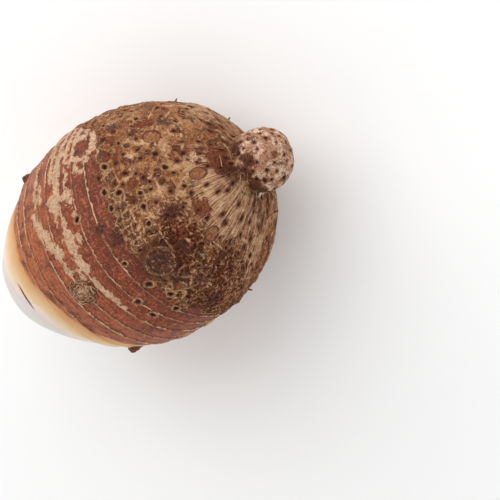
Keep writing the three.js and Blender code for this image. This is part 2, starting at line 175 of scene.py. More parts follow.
# A root scar is a crater of rings of points. Its profile outward, in shares: radius of the ring over the
# pit's, height over the pit's depth, height over the rim's, darkness, and paleness of the rim.
SCAR_SIDES = 12
SCAR_PROFILE = (
    (0.45, -1.0, 0.0, 1.0, 0.0),
    (0.8, -0.8, 0.0, 1.0, 0.0),
    (1.1, -0.3, 0.2, 0.7, 0.0),
    (1.9, -0.12, 0.6, 0.25, 0.3),
    (2.65, 0.0, 1.0, 0.0, 1.0),
    (3.3, 0.0, 0.45, 0.0, 0.6),
)
SCAR_PIT_RADIUS = 0.68
SCAR_PIT_DEPTH = 0.8
# Its apron goes down into the skin: share of the way out, height over the rim's, and lift in millimetres.
SCAR_APRON = ((0.45, 0.12, 0.05), (1.0, 0.0, -0.45))
# It reaches out by this multiple of the scar's size, and at least by these millimetres.
APRON_REACH = (2.7, 2.5)
SCAR_LOBES = 0.09
SCAR_SQUASH = 0.22
PALE_RIM_HEIGHTS = (0.2, 0.45)
# Depths of a crater's two end points: fixed millimetres, and a multiple of its size.
PIT_BOTTOM = (0.0, 1.05 * SCAR_PIT_DEPTH)
CRATER_BASE = (1.0, 2.2)
# Reach of the dark halo round a scar, and depth of the hollow under it: fixed millimetres, and a multiple
# of the scar's size. The hollow's reach is a multiple of the size, and no less than for size 1.
HALO_REACH = (1.4, 2.6)
HOLLOW_DEPTH = (1.0, 1.5)
HOLLOW_REACH = 1.9

# Round scars of broken-off side corms, smooth discs, and buds: station, degrees, radius (and height).
BROKEN_OFFSETS = ((30.5, -22, 9.4), (-4, 152, 7.5), (44, -128, 8.2))
# A broken-off scar's profile: share of its radius and height, and the ridges of its dished middle.
BROKEN_RIM_SHARE = 0.86
BROKEN_PROFILE = ((0.0, 0.55), (0.4, 0.25), (0.62, 0.98), (BROKEN_RIM_SHARE, 1.3), (1.08, 0.0))
BROKEN_MIDDLE = 0.8
BROKEN_RIDGE = 0.2
BROKEN_RIDGE_TURNS = 15.0
SMOOTH_DISCS = (
    (68.5, 14.5, 3.4), (59.5, -30, 3.7), (51.5, 49.5, 4.4), (36, 104, 3.8), (58, -100, 4.0),
    (24, 196, 3.6),
)
DISC_DEPTH = 0.7
DISC_CROWN = 0.25
DISC_CROWN_SPREAD = 0.6
# Small torn places where the pale flesh shows, as patches.
PALE_FLECKS = ((80, -76, 1.5, 4.0), (42, -150, 1.8, 1.4))
BUDS = (
    (-19.5, -16.5, 5.4, 3.6), (-42, 75, 3.4, 3.4), (-38, -78, 3.8, 3.6), (-27, 128, 4.2, 5.0),
    (2, -112, 4.4, 4.8),
)
# Root scars keep clear of these.
LARGE_FEATURES = BROKEN_OFFSETS + SMOOTH_DISCS + BUDS
BUD_LEAN = 0.45
BUD_MOUND_HEIGHT = 0.9
BUD_MOUND_REACH = 1.2
ROOT_STUBS = (
    (61.5, 76.5, 3.2), (65, 69, 2.4), (71, -74, 3.0), (50, 106, 2.4), (36, -97, 2.6), (73, -112, 3.0),
    (64, 138, 3.0), (45, 150, 2.4), (69, -158, 2.8), (27, -140, 2.2),
)
STUB_RADIUS = 0.8
STUB_SUNK = 1.5
STUB_LEAN = -0.2
STUB_BEND = 0.25
STUB_SWAY = 0.12
STUB_TONE = 0.12

# Buds are fine cones with scales round them in a spiral.
BUD_SIDES = 40
BUD_ROWS = 26
BUD_SUNK = 2.0
BUD_SCALE_TURNS = 3.0
BUD_SCALE_STEP = 0.55
# How blunt the cone is: its radius is (1 - share of height ** first) ** second.
BUD_BLUNTNESS = (1.7, 0.8)
BUD_TIP = 0.97
BUD_TIP_RISE = 0.2
BUD_FOOT = 0.22
BUD_FOOT_HEIGHT = 0.25
# Lumps round it: height and how many.
BUD_LUMPS = ((0.09, 3), (0.05, 5))
# Where the spiral starts on each next bud, as a share of a turn.
BUD_START_STEP = 0.37

# Fibres: how many of each kind, and points along one.
FIBRE_SEED = 31
FIBRE_POINTS = 7
FIBRE_STEPS = np.linspace(0.0, 1.0, FIBRE_POINTS)
TUBE_SIDES = 4
NEST_FIBRES = 170
LOOSE_FIBRES = 260
KNOB_FIBRES = 60
FIBRE_TIP = 0.45
# Ranges of thickness and of tone for each kind.
NEST_THICKNESS, NEST_TONE_POWER = (0.16, 0.42), 0.8
LOOSE_THICKNESS, LOOSE_TONES = (0.1, 0.2), (0.2, 1.0)
KNOB_THICKNESS, KNOB_TONES = (0.13, 0.26), (0.1, 1.0)
# A tube's sides are turned by this direction, which few fibres run along.
TUBE_SIDE = (0.31, 0.24, 0.92)

# Where the cork net begins, and where the pale crown ends: degrees around, station.
NET_BORDER = (
    (-180, 4), (-150, 8), (-120, 4), (-90, 10), (-62, 20), (-45, 14), (-30, 19), (-15, 22), (0, 21),
    (20, 20), (35, 22), (45, 20), (55, 20), (64, 16), (72, 4), (80, -8), (90, -14), (100, -16),
    (130, -6), (160, 0), (180, 4),
)
CROWN_BORDER = (
    (-180, -44), (-120, -36), (-80, -31), (-58, -33), (-48, -36), (-35, -38.5), (-20, -41), (0, -47),
    (18, -50), (60, -50), (100, -46), (180, -44),
)

# Streaks of cork over the ring bands: from (station, degrees) to (station, degrees), and half width.
CORK_STREAKS = (
    (-29, 33, -27, 20, 2.2), (-27, 24, -19.5, 5, 3.0), (-28, 66, -28, 30, 1.5), (-24, 47, -23, 38, 1.9),
    (-14, 33, -11, 27, 3.4), (-13, 31, -2, 31, 2.4), (-16, 84, -15, 47, 2.2), (-10, 84, -10, 30, 2.8),
    (-5, 84, -3, 34, 1.9), (1, 84, 2, 50, 2.6), (4, 64, 16, 62, 2.4), (17, 64, 16, 50, 2.6),
    (4, 48, 13, 46, 1.8), (8, 80, 10, 68, 3.0), (-9, 13, -9, -4, 3.4), (-9, 24, -9, 12, 1.0),
    (-7.5, -3, -7.5, -34, 1.9), (-18.5, 5, -18.5, -18, 0.9), (-1, 29, -1, 14, 0.8), (-2, 9, -2, 5, 1.8),
    (-13.5, 22, -13.5, 16, 0.7), (-13, -4, -12, -15, 0.9), (-20, 5, -19.5, -8, 0.9),
    (3, 47, 13, 47, 0.9), (3, 47, 4, 41, 0.7), (4, 40.5, 10, 41, 0.8), (16, 66, 22, 48, 2.0),
    (-24, 96, -17, 74, 2.8), (-30, 140, -22, 110, 2.4), (-12, 170, -8, 138, 2.6),
    (-26, -150, -22, -120, 2.2), (-10, -130, -8, -88, 2.0), (-18, -100, -15, -74, 1.4),
    (0, -170, 2, -140, 2.6),
)

# Places of one tint or texture: station, degrees around, half length and half width.
DARK_PATCHES = (
    (50, -2.5, 8.5, 6.5), (45, -24, 3.6, 9), (29.5, -36, 5, 3.4), (11.5, 7, 5.5, 4.4),
    (17.5, -1, 6.0, 7.5), (10, 42, 4.6, 1.0), (52, 17, 2.8, 3.4), (38.5, 46, 3.2, 2.4),
    (41.5, 54, 3.2, 4.2), (24.5, 54.5, 2.6, 3.4), (20.5, -56, 4.4, 4.0), (32, -62, 9, 6),
    (55, -46, 5, 4), (40, -44, 4, 7), (30, 62, 6, 5), (56, 62, 7, 4), (4.5, 53, 2.6, 3.0),
    (84, 42, 6, 7), (90, 10, 6, 7), (85, -10, 6, 8), (85.5, -38, 6, 8), (85, -62, 4.6, 8),
    (78, 8, 3, 8), (34, 118, 8, 6), (52, 150, 7, 9), (20, -110, 7, 8), (56, -142, 9, 6),
    (12, 168, 7, 5), (38, -168, 6, 8),
)
RED_ISLANDS = (
    (63, -11, 4.6, 8.5), (76.5, 24, 4, 13), (26, 42, 3.2, 5), (31, 41, 2.8, 5), (9.5, 56, 7.0, 6.5),
    (-5.5, 42, 2.8, 4.0), (-2, 37, 2.0, 2.4), (34.5, 13.5, 3.4, 3.6), (29, 52.5, 4.5, 4.0),
    (47.5, 62, 8, 6), (38, 22, 4, 5), (47, 102, 8, 7), (60, 128, 6, 8), (28, 150, 7, 6),
    (48, -108, 7, 6), (30, -158, 8, 6), (66, -120, 5, 8),
)
PALE_PATCHES = (
    (-4, 54, 7, 6), (8, 50, 6, 4.5), (-14, 64, 6, 7), (24, 34, 5, 4), (57, 40, 3.8, 8.5),
    (58.5, 25, 5.5, 5), (48, 11.5, 7, 5), (66, 22, 4.6, 6.5), (40, 26.5, 4, 3), (70, -3, 3, 14),
    (58.5, 7, 4, 5), (62, -35, 4, 7), (72, 10, 4, 7), (98, -30, 8, 9), (96, 30, 6, 7), (62, 100, 7, 6),
    (40, 132, 6, 5), (64, -84, 6, 7), (44, -148, 6, 5), (60, 172, 8, 7),
)
NETTED_ZONES = (
    (38, -32, 30, 52), (30, 2, 14, 24), (24, 40, 6, 18), (24, 25, 7, 12), (30, 100, 12, 22),
    (30, 168, 18, 26), (46, -128, 18, 30), (60, 130, 10, 20),
)
FIBROUS_ZONES = ((69, -26, 11, 34), (50, -72, 20, 12), (67, 120, 10, 30), (66, -150, 12, 32))
# Painted shade on the -Y flank, which the key light leaves dark, partly the skin's own darker colour there.
SHADE_AND_DARK_SKIN_ZONES = ((34, -68, 32, 30), (52, -54, 16, 20), (30, -96, 26, 22), (44, -22, 18, 26), (46, -6, 9, 8))

# The marks that show how far inside the nearest patch, or how near the nearest round feature, a place is.
PATCHES = {"dark": DARK_PATCHES, "red": RED_ISLANDS, "pale": PALE_PATCHES, "netted": NETTED_ZONES,
           "fibrous": FIBROUS_ZONES, "shade_and_dark_skin": SHADE_AND_DARK_SKIN_ZONES, "fleck": PALE_FLECKS}
ROUNDS = {"disc": SMOOTH_DISCS, "broken": BROKEN_OFFSETS}

# Cells of the cork net, in millimetres.
LARGE_CELL = 6.0
SMALL_CELL = 3.9
NET_HALF_WIDTH = 0.45
NET_EDGE_WIDTH = 0.7
NET_HEIGHT = 0.34
NET_LIFT = 0.2
CELL_SINK = 0.45
CELL_SINK_START = 0.3
# Loose cells have only this share of the netted ones' relief.
LOOSE_RELIEF = 0.25
ISLAND_SMOOTHING = 0.75
CORK_HEIGHT = 0.28
CROWN_SMOOTH_WIDTH = 3.0

# Noises of the skin: height, size in millimetres and seed. Those that move the cells have one for each axis.
CELL_BENDS = ((1.7, 9.0, 11), (1.7, 9.0, 12), (1.7, 9.0, 13))
CELL_CURLS = ((0.6, 3.4, 14), (0.6, 3.4, 15), (0.6, 3.4, 16))
SMALL_CELL_AREAS = (1.0, 17.0, 21)
NET_EDGE_NOISE = (3.0, 9.0, 31)
CROWN_EDGE_NOISE = (1.2, 8.0, 41)
CORK_EDGE_NOISES = ((1.1, 3.2, 51), (0.6, 1.5, 52))
FIBRE_NOISE = (0.14, 1.5, 61)
ROOT_HALF_NOISE = (0.22, 5.0, 62)
BAND_NOISE = (0.07, 1.2, 63)
SCAB_NOISE = (0.3, 2.6, 64)
KNOB_NOISE = (0.32, 5.5, 65)
BROKEN_SWAY_NOISE = (3.0, 4.0, 71)
BROKEN_GRAIN_NOISE = (0.3, 2.4, 72)
# Fibres run along the corm and band wrinkles round it: stretch of the noise round and along the corm.
ALONG_STRETCH = (1.0, 1.0, 0.12)
ROUND_STRETCH = (0.25, 0.25, 1.0)
# Small cells are likelier on top: by how much, and the middle and spread of that in degrees.
SMALL_CELL_PULL, SMALL_CELL_MIDDLE, SMALL_CELL_SPREAD = 0.25, -5, 25

# Mesh density: millimetres between rows, and columns round the body and round its narrow ends.
ROW_STEP = 1.36
ROW_SLACK = 0.15
OUTLINE_SAMPLES = 60
BODY_COLUMNS = 512
END_COLUMNS = 256
WIDE_RADIUS = 40.0
RING_ROW_OFFSETS = (-1.5, -0.75, -0.3, 0.0, 0.3, 0.75, 1.5)
ROOT_RING_ROW_OFFSETS = (-0.8, 0.0, 0.8)
CUT_ROW_OFFSETS = (-0.5, 0.0, 0.7)
SHEATH_ROW_OFFSETS = (-0.35, 0.35)
SLIT_ROW_OFFSETS = (-SLIT_HALF_WIDTH, -0.6, 0.0, 0.6, SLIT_HALF_WIDTH)
FACE_POLE_GAP = 0.6
TIP_POLE_GAP = 0.7
# No angle is worked out from a smaller radius than this.
LEAST_RADIUS = 2.0
# How far to each side of a point the skin is looked at for its directions there.
FRAME_STEP = 0.6

# Marks that the skin's material reads.
SHADER_MARKS = ("station", "wrap", "place", "small", "net_in", "crown_in", "cork_in", "halo", "slit", "knob",
                "pit", "rim", *PATCHES, *ROUNDS)

# Sizes of the material's noises and cells, in millimetres.
BROAD_GRAIN = 4.5
MEDIUM_GRAIN = 1.7
FINE_GRAIN = 0.7
WRINKLE_SIZE = 2.9
GROUND_CLOUD = 7.0
GROUND_BLOT = 11.0
BAND_CLOUD = 8.0
LINE_GAP = 16.0
DOT_CELL = 2.3
PIN_CELL = 2.6
CROWN_FADE = 32.0
BUD_GRAIN = 1.6
BUD_CLOUD = 5.0
BAND_SEED = 5
BAND_TONES = (0.36, 0.6)
# The bands' tints change between these stations.
BAND_RANGE = (CROWN_RINGS[0] - 15.0, CROWN_RINGS[-1] + 4.0)
STREAK_SIZE, STREAK_STRETCH = 0.9, (0.07, 0.07, 1.0)
THREAD_SIZE, THREAD_STRETCH = 0.8, (0.02, 0.02, 1.0)
FIBRE_SIZE = 0.9
SPECULAR = 0.1
BUD_ROUGHNESS = 0.7
FIBRE_ROUGHNESS = 0.8
NODE_SPACING = (200, 220)
NODES_IN_ROW = 12

# The camera looks down on the corm from the root end's side and is rolled about its line of sight.
# Across and up are how far the picture's middle is from the corm's middle, in millimetres.
CAMERA_LEAN = math.radians(26)
CAMERA_ROLL = math.radians(28.5)
FRAME_ACROSS = 62.8
FRAME_UP = -12.5
FRAME_WIDTH = 276.5
SENSOR_WIDTH = 36.0
CLIP_START = 0.05

# The key light's place from the corm, in metres along the camera's right, up and back, and its side.
KEY_PLACE = (-0.62, 0.62, 0.9)
KEY_SIZE = 1.3
# Fill lights round the sides: degrees, metres out and up from the corm, and their side.
FILL_TURNS = (20, 110, 200, 290)
FILL_OUT = 0.9
FILL_UP = 0.35
FILL_SIZE = 0.6
FLOOR_HALF = 3.0
FLOOR_TINT = (0.97, 0.97, 0.97)
FLOOR_ROUGHNESS = 0.8

# The lowest 32 bits of a number.
WORD = 0xFFFFFFFF
# Rough noise: how many layers it has, and how high each is over the last.
NOISE_LAYERS = 3
LAYER_SHARE = 0.55
# A share or a depth for places that are on no feature.
FAR_AWAY = 20.0


def colour(red, green, blue):
    """Linear red, green, blue from the usual 0 to 255 display values."""
    shares = np.array((red, green, blue)) / 255.0
    bright = ((shares + 0.055) / 1.055) ** 2.4
    return tuple(float(x) for x in np.where(shares > 0.04045, bright, shares / 12.92))


# Tints that are not settings
STREAK_DARK = colour(104, 50, 34)
STREAK_PALE = colour(192, 118, 84)
BAND_CLOUD_DARK = colour(98, 50, 42)
BAND_CLOUD_PALE = colour(184, 98, 64)
BAND_SPOT_DARK = colour(96, 48, 36)
BAND_SPOT_PALE = colour(206, 138, 98)
BAND_GRAIN_DARK = colour(88, 46, 34)
BAND_GRAIN_PALE = colour(214, 148, 112)
BAND_DOT = colour(206, 150, 112)
RING_SHADOW = colour(84, 46, 38)
RING_LINE = colour(214, 178, 140)
CORK_LIGHT = colour(220, 186, 154)
CORK_DEEP = colour(192, 144, 110)
CORK_GRAIN = colour(156, 114, 86)
CORK_PIN = colour(88, 60, 44)
GROUND_SPOT_DARK = colour(104, 58, 38)
GROUND_SPOT_PALE = colour(206, 162, 118)
GROUND_GRAIN_DARK = colour(92, 54, 36)
GROUND_GRAIN_PALE = colour(212, 170, 128)
ISLAND_PALE = colour(214, 174, 132)
ISLAND_TAN = colour(182, 136, 96)
CELL_SPOT_DARK = colour(58, 30, 21)
CELL_GRAIN_PALE = colour(172, 100, 60)
CELL_EDGE = colour(60, 32, 22)
# Painted shade in the valleys and painted highlight on the crests of the fine wrinkles.
WRINKLE_PAINTED_SHADE = colour(64, 35, 25)
WRINKLE_PAINTED_HIGHLIGHT = colour(206, 150, 112)
NET_GRAIN_DARK = colour(66, 35, 24)
NET_GRAIN_PALE = colour(216, 162, 122)
FIBRE_LIGHT = colour(228, 184, 146)
FIBRE_SHADE = colour(84, 48, 34)
# Painted shade of the -Y flank, partly its own darker skin, multiplied over the tint.
FLANK_SHADE_AND_DARK_SKIN = colour(156, 106, 86)
RED_SHADE = colour(98, 50, 34)
RED_GRAIN_DARK = colour(84, 44, 32)
RED_GRAIN_PALE = colour(180, 112, 84)
SCAB_GRAIN_PALE = colour(122, 80, 62)
SCAB_GRAIN_DARK = colour(42, 24, 22)
# Painted highlight on the crests of the scabs' wrinkles.
SCAB_WRINKLE_PAINTED_HIGHLIGHT = colour(140, 94, 72)
DISC_PALE = colour(172, 114, 78)
DISC_BROWN = colour(136, 80, 54)
DISC_RIM = colour(98, 58, 42)
BROKEN_SURROUND = colour(76, 41, 31)
BROKEN_CORE = colour(84, 50, 40)
BROKEN_CORE_PALE = colour(160, 118, 92)
BROKEN_SWIRL = colour(132, 88, 64)
BROKEN_GRAIN = colour(48, 30, 25)
BROKEN_RIM = colour(184, 138, 104)
KNOB_SPOT = colour(112, 66, 46)
KNOB_GRAIN_DARK = colour(98, 58, 42)
KNOB_GRAIN_PALE = colour(222, 186, 158)
# Painted shade and painted highlight of the knob's wrinkles.
KNOB_WRINKLE_PAINTED_SHADE = colour(92, 54, 40)
KNOB_WRINKLE_PAINTED_HIGHLIGHT = colour(222, 184, 152)
# Painted shade in the groove round the knob's neck, partly dark scab.
NECK_GROOVE_SHADE_AND_SCAB = colour(58, 34, 28)
FLESH_FLECK = colour(234, 212, 188)
CROWN_TINTS = (
    (0.0, colour(206, 142, 96)), (0.14, colour(220, 170, 118)), (0.36, colour(234, 202, 156)),
    (0.52, colour(242, 222, 204)), (0.66, colour(230, 218, 212)), (1.0, colour(230, 229, 222)),
)
CROWN_THREAD = colour(178, 122, 92)
SLIT_TINT = colour(104, 62, 66)
SCAR_HALO = colour(104, 58, 40)
SCAR_RIM = colour(204, 162, 120)
FIBRE_MIDDLE = colour(148, 108, 82)


# Curves and noise

def smoothstep(value, low, high):
    """0 below low and 1 above high, with an even S curve between."""
    share = np.clip((value - low) / (high - low), 0.0, 1.0)
    return share * share * (3.0 - 2.0 * share)


def bell(value, middle, spread):
    """1 at the middle, and beside it e to minus the square of the distance over the spread."""
    return np.exp(-(((value - middle) / spread) ** 2))


def wrapped(angle):
    """The same angle from -pi to pi."""
    return np.mod(angle + math.pi, 2.0 * math.pi) - math.pi


def seeded_random(seed):
    """A seeded generator of numbers from 0 to 1, the same as the CAD model's."""
    state = seed

    def draw():
        nonlocal state
        state = (state + 0x6D2B79F5) & WORD
        mixed = ((state ^ (state >> 15)) * (state | 1)) & WORD
        mixed ^= (mixed + (mixed ^ (mixed >> 7)) * (mixed | 61)) & WORD
        return (mixed ^ (mixed >> 14)) / 2.0**32

    return draw


def lattice(corners, seed):
    """A number from -1 to 1 for each corner of a unit grid, by mixing the bits of its coordinates."""
    x, y, z = (corners[..., i].astype(np.int64) for i in range(3))
    mixed = (x * 73856093) ^ (y * 19349663) ^ (z * 83492791) ^ (seed * 2654435761)
    mixed = ((mixed ^ (mixed >> 13)) * 1274126177) & WORD
    mixed = ((mixed ^ (mixed >> 15)) * 2246822519) & WORD
    return ((mixed >> 8) & 0xFFFF) / 32767.5 - 1.0


def soft_noise(places, size, seed):
    """Smooth noise from -1 to 1: the lattice numbers at the corners round each place, eased together."""
    scaled = places / size
    floor = np.floor(scaled)
    share = scaled - floor
    share = share * share * (3.0 - 2.0 * share)
    total = 0.0
    for corner in np.ndindex(2, 2, 2):
        weight = np.prod(np.where(corner, share, 1.0 - share), axis=-1)
        total = total + weight * lattice(floor + np.array(corner), seed)
    return total


def rough_noise(places, size, seed):
    """Layers of smooth noise, each half the size and a little over half the height of the last."""
    layers = range(NOISE_LAYERS)
    return sum(LAYER_SHARE**i * soft_noise(places, size / 2**i, seed + i) for i in layers)


def soft_height(places, noise):
    """Smooth noise given as its height, its size in millimetres and its seed."""
    height, size, seed = noise
    return height * soft_noise(places, size, seed)


def rough_height(places, noise):
    """Rough noise given as its height, its size in millimetres and its seed."""
    height, size, seed = noise
    return height * rough_noise(places, size, seed)


# Cells, worked out as the Voronoi texture node does, so that relief and colour share their borders

def turned(bits, places):
    """The 32 bits moved up by some places, with those that fall out put back at the bottom."""
    return (bits << np.uint32(places)) | (bits >> np.uint32(32 - places))


def mixed_bits(a, b, c):
    """The last stage of the texture's hash: each of three numbers in turn is crossed with the one before."""
    for place, source in ((14, 0), (11, 1), (25, 2), (16, 0), (4, 1), (14, 2), (24, 0)):
        if source == 0:
            c = (c ^ b) - turned(b, place)
        elif source == 1:
            a = (a ^ c) - turned(c, place)
        else:
            b = (b ^ a) - turned(a, place)
    return c


def stirred_bits(a, b, c):
    """The first stage of the texture's hash, for four numbers: two rounds of differences and turned bits."""
    for first, second, third in ((4, 6, 8), (16, 19, 4)):
        a = (a - c) ^ turned(c, first)
        c = c + b
        b = (b - a) ^ turned(a, second)
        a = a + c
        c = (c - b) ^ turned(b, third)
        b = b + a
    return a, b, c


def cell_draws(corners):
    """Three numbers from 0 to 1 for each unit cube: its point's place, which is also its colour."""
    x, y, z = (np.ascontiguousarray(corners[..., i], np.float32).view(np.uint32) for i in range(3))
    short_start = np.uint32(0xDEADBEEF + 25)
    long_start = np.uint32(0xDEADBEEF + 29)
    draws = [mixed_bits(short_start + x, short_start + y, short_start + z)]
    for layer in (1.0, 2.0):
        a, b, c = stirred_bits(long_start + x, long_start + y, long_start + z)
        draws.append(mixed_bits(a + np.float32(layer).view(np.uint32), b, c))
    return np.stack(draws, -1) / float(WORD)


def cell_borders(places, size):
    """Distance to the nearest cell border in millimetres, and the nearest cell's three draws."""
    scaled = places / size
    floor = np.floor(scaled)
    local = scaled - floor
    neighbours = [np.array(step) - 1 for step in np.ndindex(3, 3, 3)]
    nearest = np.full(len(places), np.inf)
    nearest_point = np.zeros_like(places)
    nearest_draws = np.zeros_like(places)
    for step in neighbours:
        draws = cell_draws(floor + step)
        point = step + draws - local
        distance = np.einsum("ij,ij->i", point, point)
        closer = distance < nearest
        nearest[closer] = distance[closer]
        nearest_point[closer] = point[closer]
        nearest_draws[closer] = draws[closer]
    border = np.full(len(places), np.inf)
    for step in neighbours:
        point = step + cell_draws(floor + step) - local
        across = point - nearest_point
        length = np.linalg.norm(across, axis=1)
        halfway = np.einsum("ij,ij->i", (point + nearest_point) / 2.0, across) / np.maximum(length, 1e-9)
        border = np.where(length > 1e-3, np.minimum(border, halfway), border)
    return border * size, nearest_draws


# The corm's shape, by the same formulas as the CAD model

def body_radius(station):
    """Two half superellipses of one radius, drawn out at the crown and blunt at the root end."""
    reach = np.where(station < 0, CROWN_REACH, ROOT_REACH)
    power = np.where(station < 0, CROWN_POWER, ROOT_POWER)
    share = np.minimum(np.abs(station) / reach, 1.0)
    return BODY_RADIUS * (1.0 - share**power) ** (1.0 / power)


CUT_RADIUS = float(body_radius(np.array(CROWN_CUT)))
NECK_RADIUS = float(body_radius(np.array(NECK_STATION)))
FACE_CENTRE = CROWN_CUT - CUT_RADIUS
KNOB_TIP = KNOB_CENTRE + KNOB_RADIUS * math.pi / 2


def face_depth(radius):
    """The trimmed face steps in towards the shoot at each leaf sheath."""
    depth = 0.0
    for edge in SHEATH_RADII:
        inside = smoothstep(edge - radius, -SHEATH_EDGE, SHEATH_EDGE)
        depth = depth + SHEATH_STEP * inside * (edge / CUT_RADIUS)
    return depth


def outline(station):
    """How far along the axis a station is, and how far out: face, body, pinched neck and dome."""
    face_radius = np.maximum(station - FACE_CENTRE, 0.0)
    share = np.clip((station - NECK_STATION) / (KNOB_CENTRE - NECK_STATION), 0.0, 1.0)
    pinch = NECK_PINCH * np.sin(math.pi * np.sqrt(share)) ** 2
    neck_radius = NECK_RADIUS + (KNOB_RADIUS - NECK_RADIUS) * share - pinch
    turn = np.clip((station - KNOB_CENTRE) / KNOB_RADIUS, 0.0, math.pi / 2)
    parts = [station < CROWN_CUT, station > KNOB_CENTRE, station > NECK_STATION]
    dome_along = KNOB_CENTRE + KNOB_RADIUS * np.sin(turn)
    along = np.select(parts[:2], [CROWN_CUT + face_depth(face_radius), dome_along], station)
    whole = body_radius(np.clip(station, CROWN_CUT, NECK_STATION))
    radius = np.select(parts, [face_radius, KNOB_RADIUS * np.cos(turn), neck_radius], whole)
    return along, radius


def radius_at(station):
    """The outline's radius, but never so small that an angle would blow up."""
    return np.maximum(outline(station)[1], LEAST_RADIUS)


def slant(station, around):
    """How far a ring slips towards the root end round the sides, a little further on the -Y side."""
    turned_share = np.sin(around / 2) ** 2
    even = RING_SLANT * 2 * turned_share / (1 + RING_SLANT_FLATTENING * turned_share)
    skew = RING_SKEW * np.minimum(np.sin(around), 0.0) ** 2
    return (even * bell(station, RING_SLANT_STATION, RING_SLANT_SPREAD)
            + skew * bell(station, RING_SKEW_STATION, RING_SKEW_SPREAD))


def ring_relief(station):
    """A thin raised ridge at each ring, and a gentle bulge between two rings."""
    rings = np.array(CROWN_RINGS + ROOT_RINGS, float)
    ridge = 0.0
    for ring in rings:
        full = RING_HEIGHT if ring in CROWN_RINGS else ROOT_RING_HEIGHT
        off = np.abs(station - ring) / RING_HALF_WIDTH
        ridge = ridge + full * np.maximum(1.0 - off, 0.0) ** RING_SHARPNESS
    place = np.interp(station, rings, np.arange(len(rings)))
    between = (station > rings[0]) & (station < rings[-1])
    return ridge + np.where(between, BAND_BULGE * np.sin(math.pi * (place % 1.0)), 0.0)


def waves(rows, station, around):
    """Sines round the corm, each with its height, number and start, and a twist along the corm."""
    height = 0.0
    for full, count, start, twist in rows:
        height = height + full * np.sin(count * around + start + station * twist)
    return height


def swell(station, around, radius):
    """Slow swells that keep the corm from being a turned shape. They die out at both ends."""
    left = (0.5 + 0.5 * np.sin(around)) ** 2
    right = (0.5 - 0.5 * np.sin(around)) ** 2
    side = -np.sin(around) * SIDE_FULLNESS * bell(station, SIDE_STATION, SIDE_SPREAD)
    hollows = left * LEFT_HOLLOW * bell(station, LEFT_STATION, LEFT_SPREAD)
    hollows = hollows + right * RIGHT_HOLLOW * smoothstep(station, *RIGHT_HOLLOW_STATIONS)
    beat = np.sin(station / RIPPLE_BEAT + around)
    ripple = RIPPLE * np.sin(RIPPLE_COUNT * around + station / RIPPLE_PITCH) * beat
    return (side - hollows + waves(BODY_WAVES, station, around) + ripple) * smoothstep(radius, *SWELL_FADE)


def knob_swell(station, around):
    """The knob's waves. They die out at its neck and at its tip."""
    from_neck = smoothstep(station, NECK_STATION, KNOB_CENTRE)
    from_tip = smoothstep(KNOB_TIP - station, 0, KNOB_TIP_FADE)
    return from_neck * from_tip * waves(KNOB_WAVES, station, around)


def slit_share(station, around):
    """How deep a place lies in the gap between two sheaths, from 0 to 1."""
    off = np.clip(np.abs(station - SLIT_STATION) / SLIT_HALF_WIDTH, 0, 1)
    side = np.clip(np.abs(around - SLIT_AROUND) / SLIT_HALF_ANGLE, 0, 1)
    return (1 - off) * (1 - side * side)


def skin_point(station, around, lift=0.0):
    """Points of the skin about the corm's axis: the outline swept round, with the root end bent up."""
    on_body = (station > CROWN_CUT) & (station < NECK_STATION)
    slipped = np.where(on_body, np.minimum(station + slant(station, around), NECK_STATION), station)
    along, radius = outline(slipped)
    relief = ring_relief(station) - SLIT_DEPTH * slit_share(station, around)
    body = smoothstep(radius, *RELIEF_FADE) * relief + swell(station, around, radius)
    past_neck = np.where(station >= NECK_STATION, knob_swell(station, around), 0.0)
    out = radius + np.where(on_body, body, past_neck) + lift
    bend = BEND_ANGLE * smoothstep(along, BEND_START, NECK_STATION)
    height = out * np.cos(around)
    arm = np.maximum(along - BEND_START, 0.0)
    x = np.minimum(along, BEND_START) + arm * np.cos(bend) - height * np.sin(bend)
    z = arm * np.sin(bend) + height * np.cos(bend)
    return np.stack([x, out * np.sin(around), z], -1)


def unit(vectors):
    """The same vectors, one unit long."""
    return vectors / np.maximum(np.linalg.norm(vectors, axis=-1, keepdims=True), 1e-9)


def skin_frame(station, around):
    """Points of the skin, and unit vectors out of it, along it towards the root end, and round it."""
    station, around = np.broadcast_arrays(np.asarray(station, float), np.asarray(around, float))
    turn = FRAME_STEP / radius_at(station)
    point = skin_point(station, around)
    along = skin_point(station + FRAME_STEP, around) - skin_point(station - FRAME_STEP, around)
    sideways = skin_point(station, around + turn) - skin_point(station, around - turn)
    outward = np.cross(along, sideways)
    tip_direction = (math.cos(BEND_ANGLE), 0.0, math.sin(BEND_ANGLE))
    at_pole = np.where(station[..., None] < 0, (-1.0, 0.0, 0.0), tip_direction)
    flat = np.linalg.norm(outward, axis=-1, keepdims=True) <= 1e-6
    outward = np.where(flat, at_pole, unit(outward))
    along = unit(along)
    return point, outward, along, np.cross(outward, along)


def axis_place():
    """Where the corm's own origin is in the frame, in millimetres, from the middle of the CAD's face."""
    low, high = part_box(NODE)
    face = np.array((low.x / MM + float(face_depth(np.array(0.0))), 0.0, BODY_RADIUS - FLAT_SPOT_DEPTH))
    corners = np.array([v.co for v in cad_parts[NODE].data.vertices]) / MM
    middle = corners[np.argmin(np.linalg.norm(corners - face, axis=1))]
    return np.array((low.x / MM - CROWN_CUT, middle[1], BODY_RADIUS - FLAT_SPOT_DEPTH))


AXIS = axis_place()


def in_frame(points):
    """Points about the corm's own axis as metres in the frame, none lower than the surface it rests on."""
    moved = points + AXIS
    moved[..., 2] = np.maximum(moved[..., 2], 0.0)
    return moved * MM


# Places of features

def spread_from(station, around, place):
    """Millimetres along and round the skin from one place, given as station and degrees, to each point."""
    return station - place[0], radius_at(station) * wrapped(around - math.radians(place[1]))


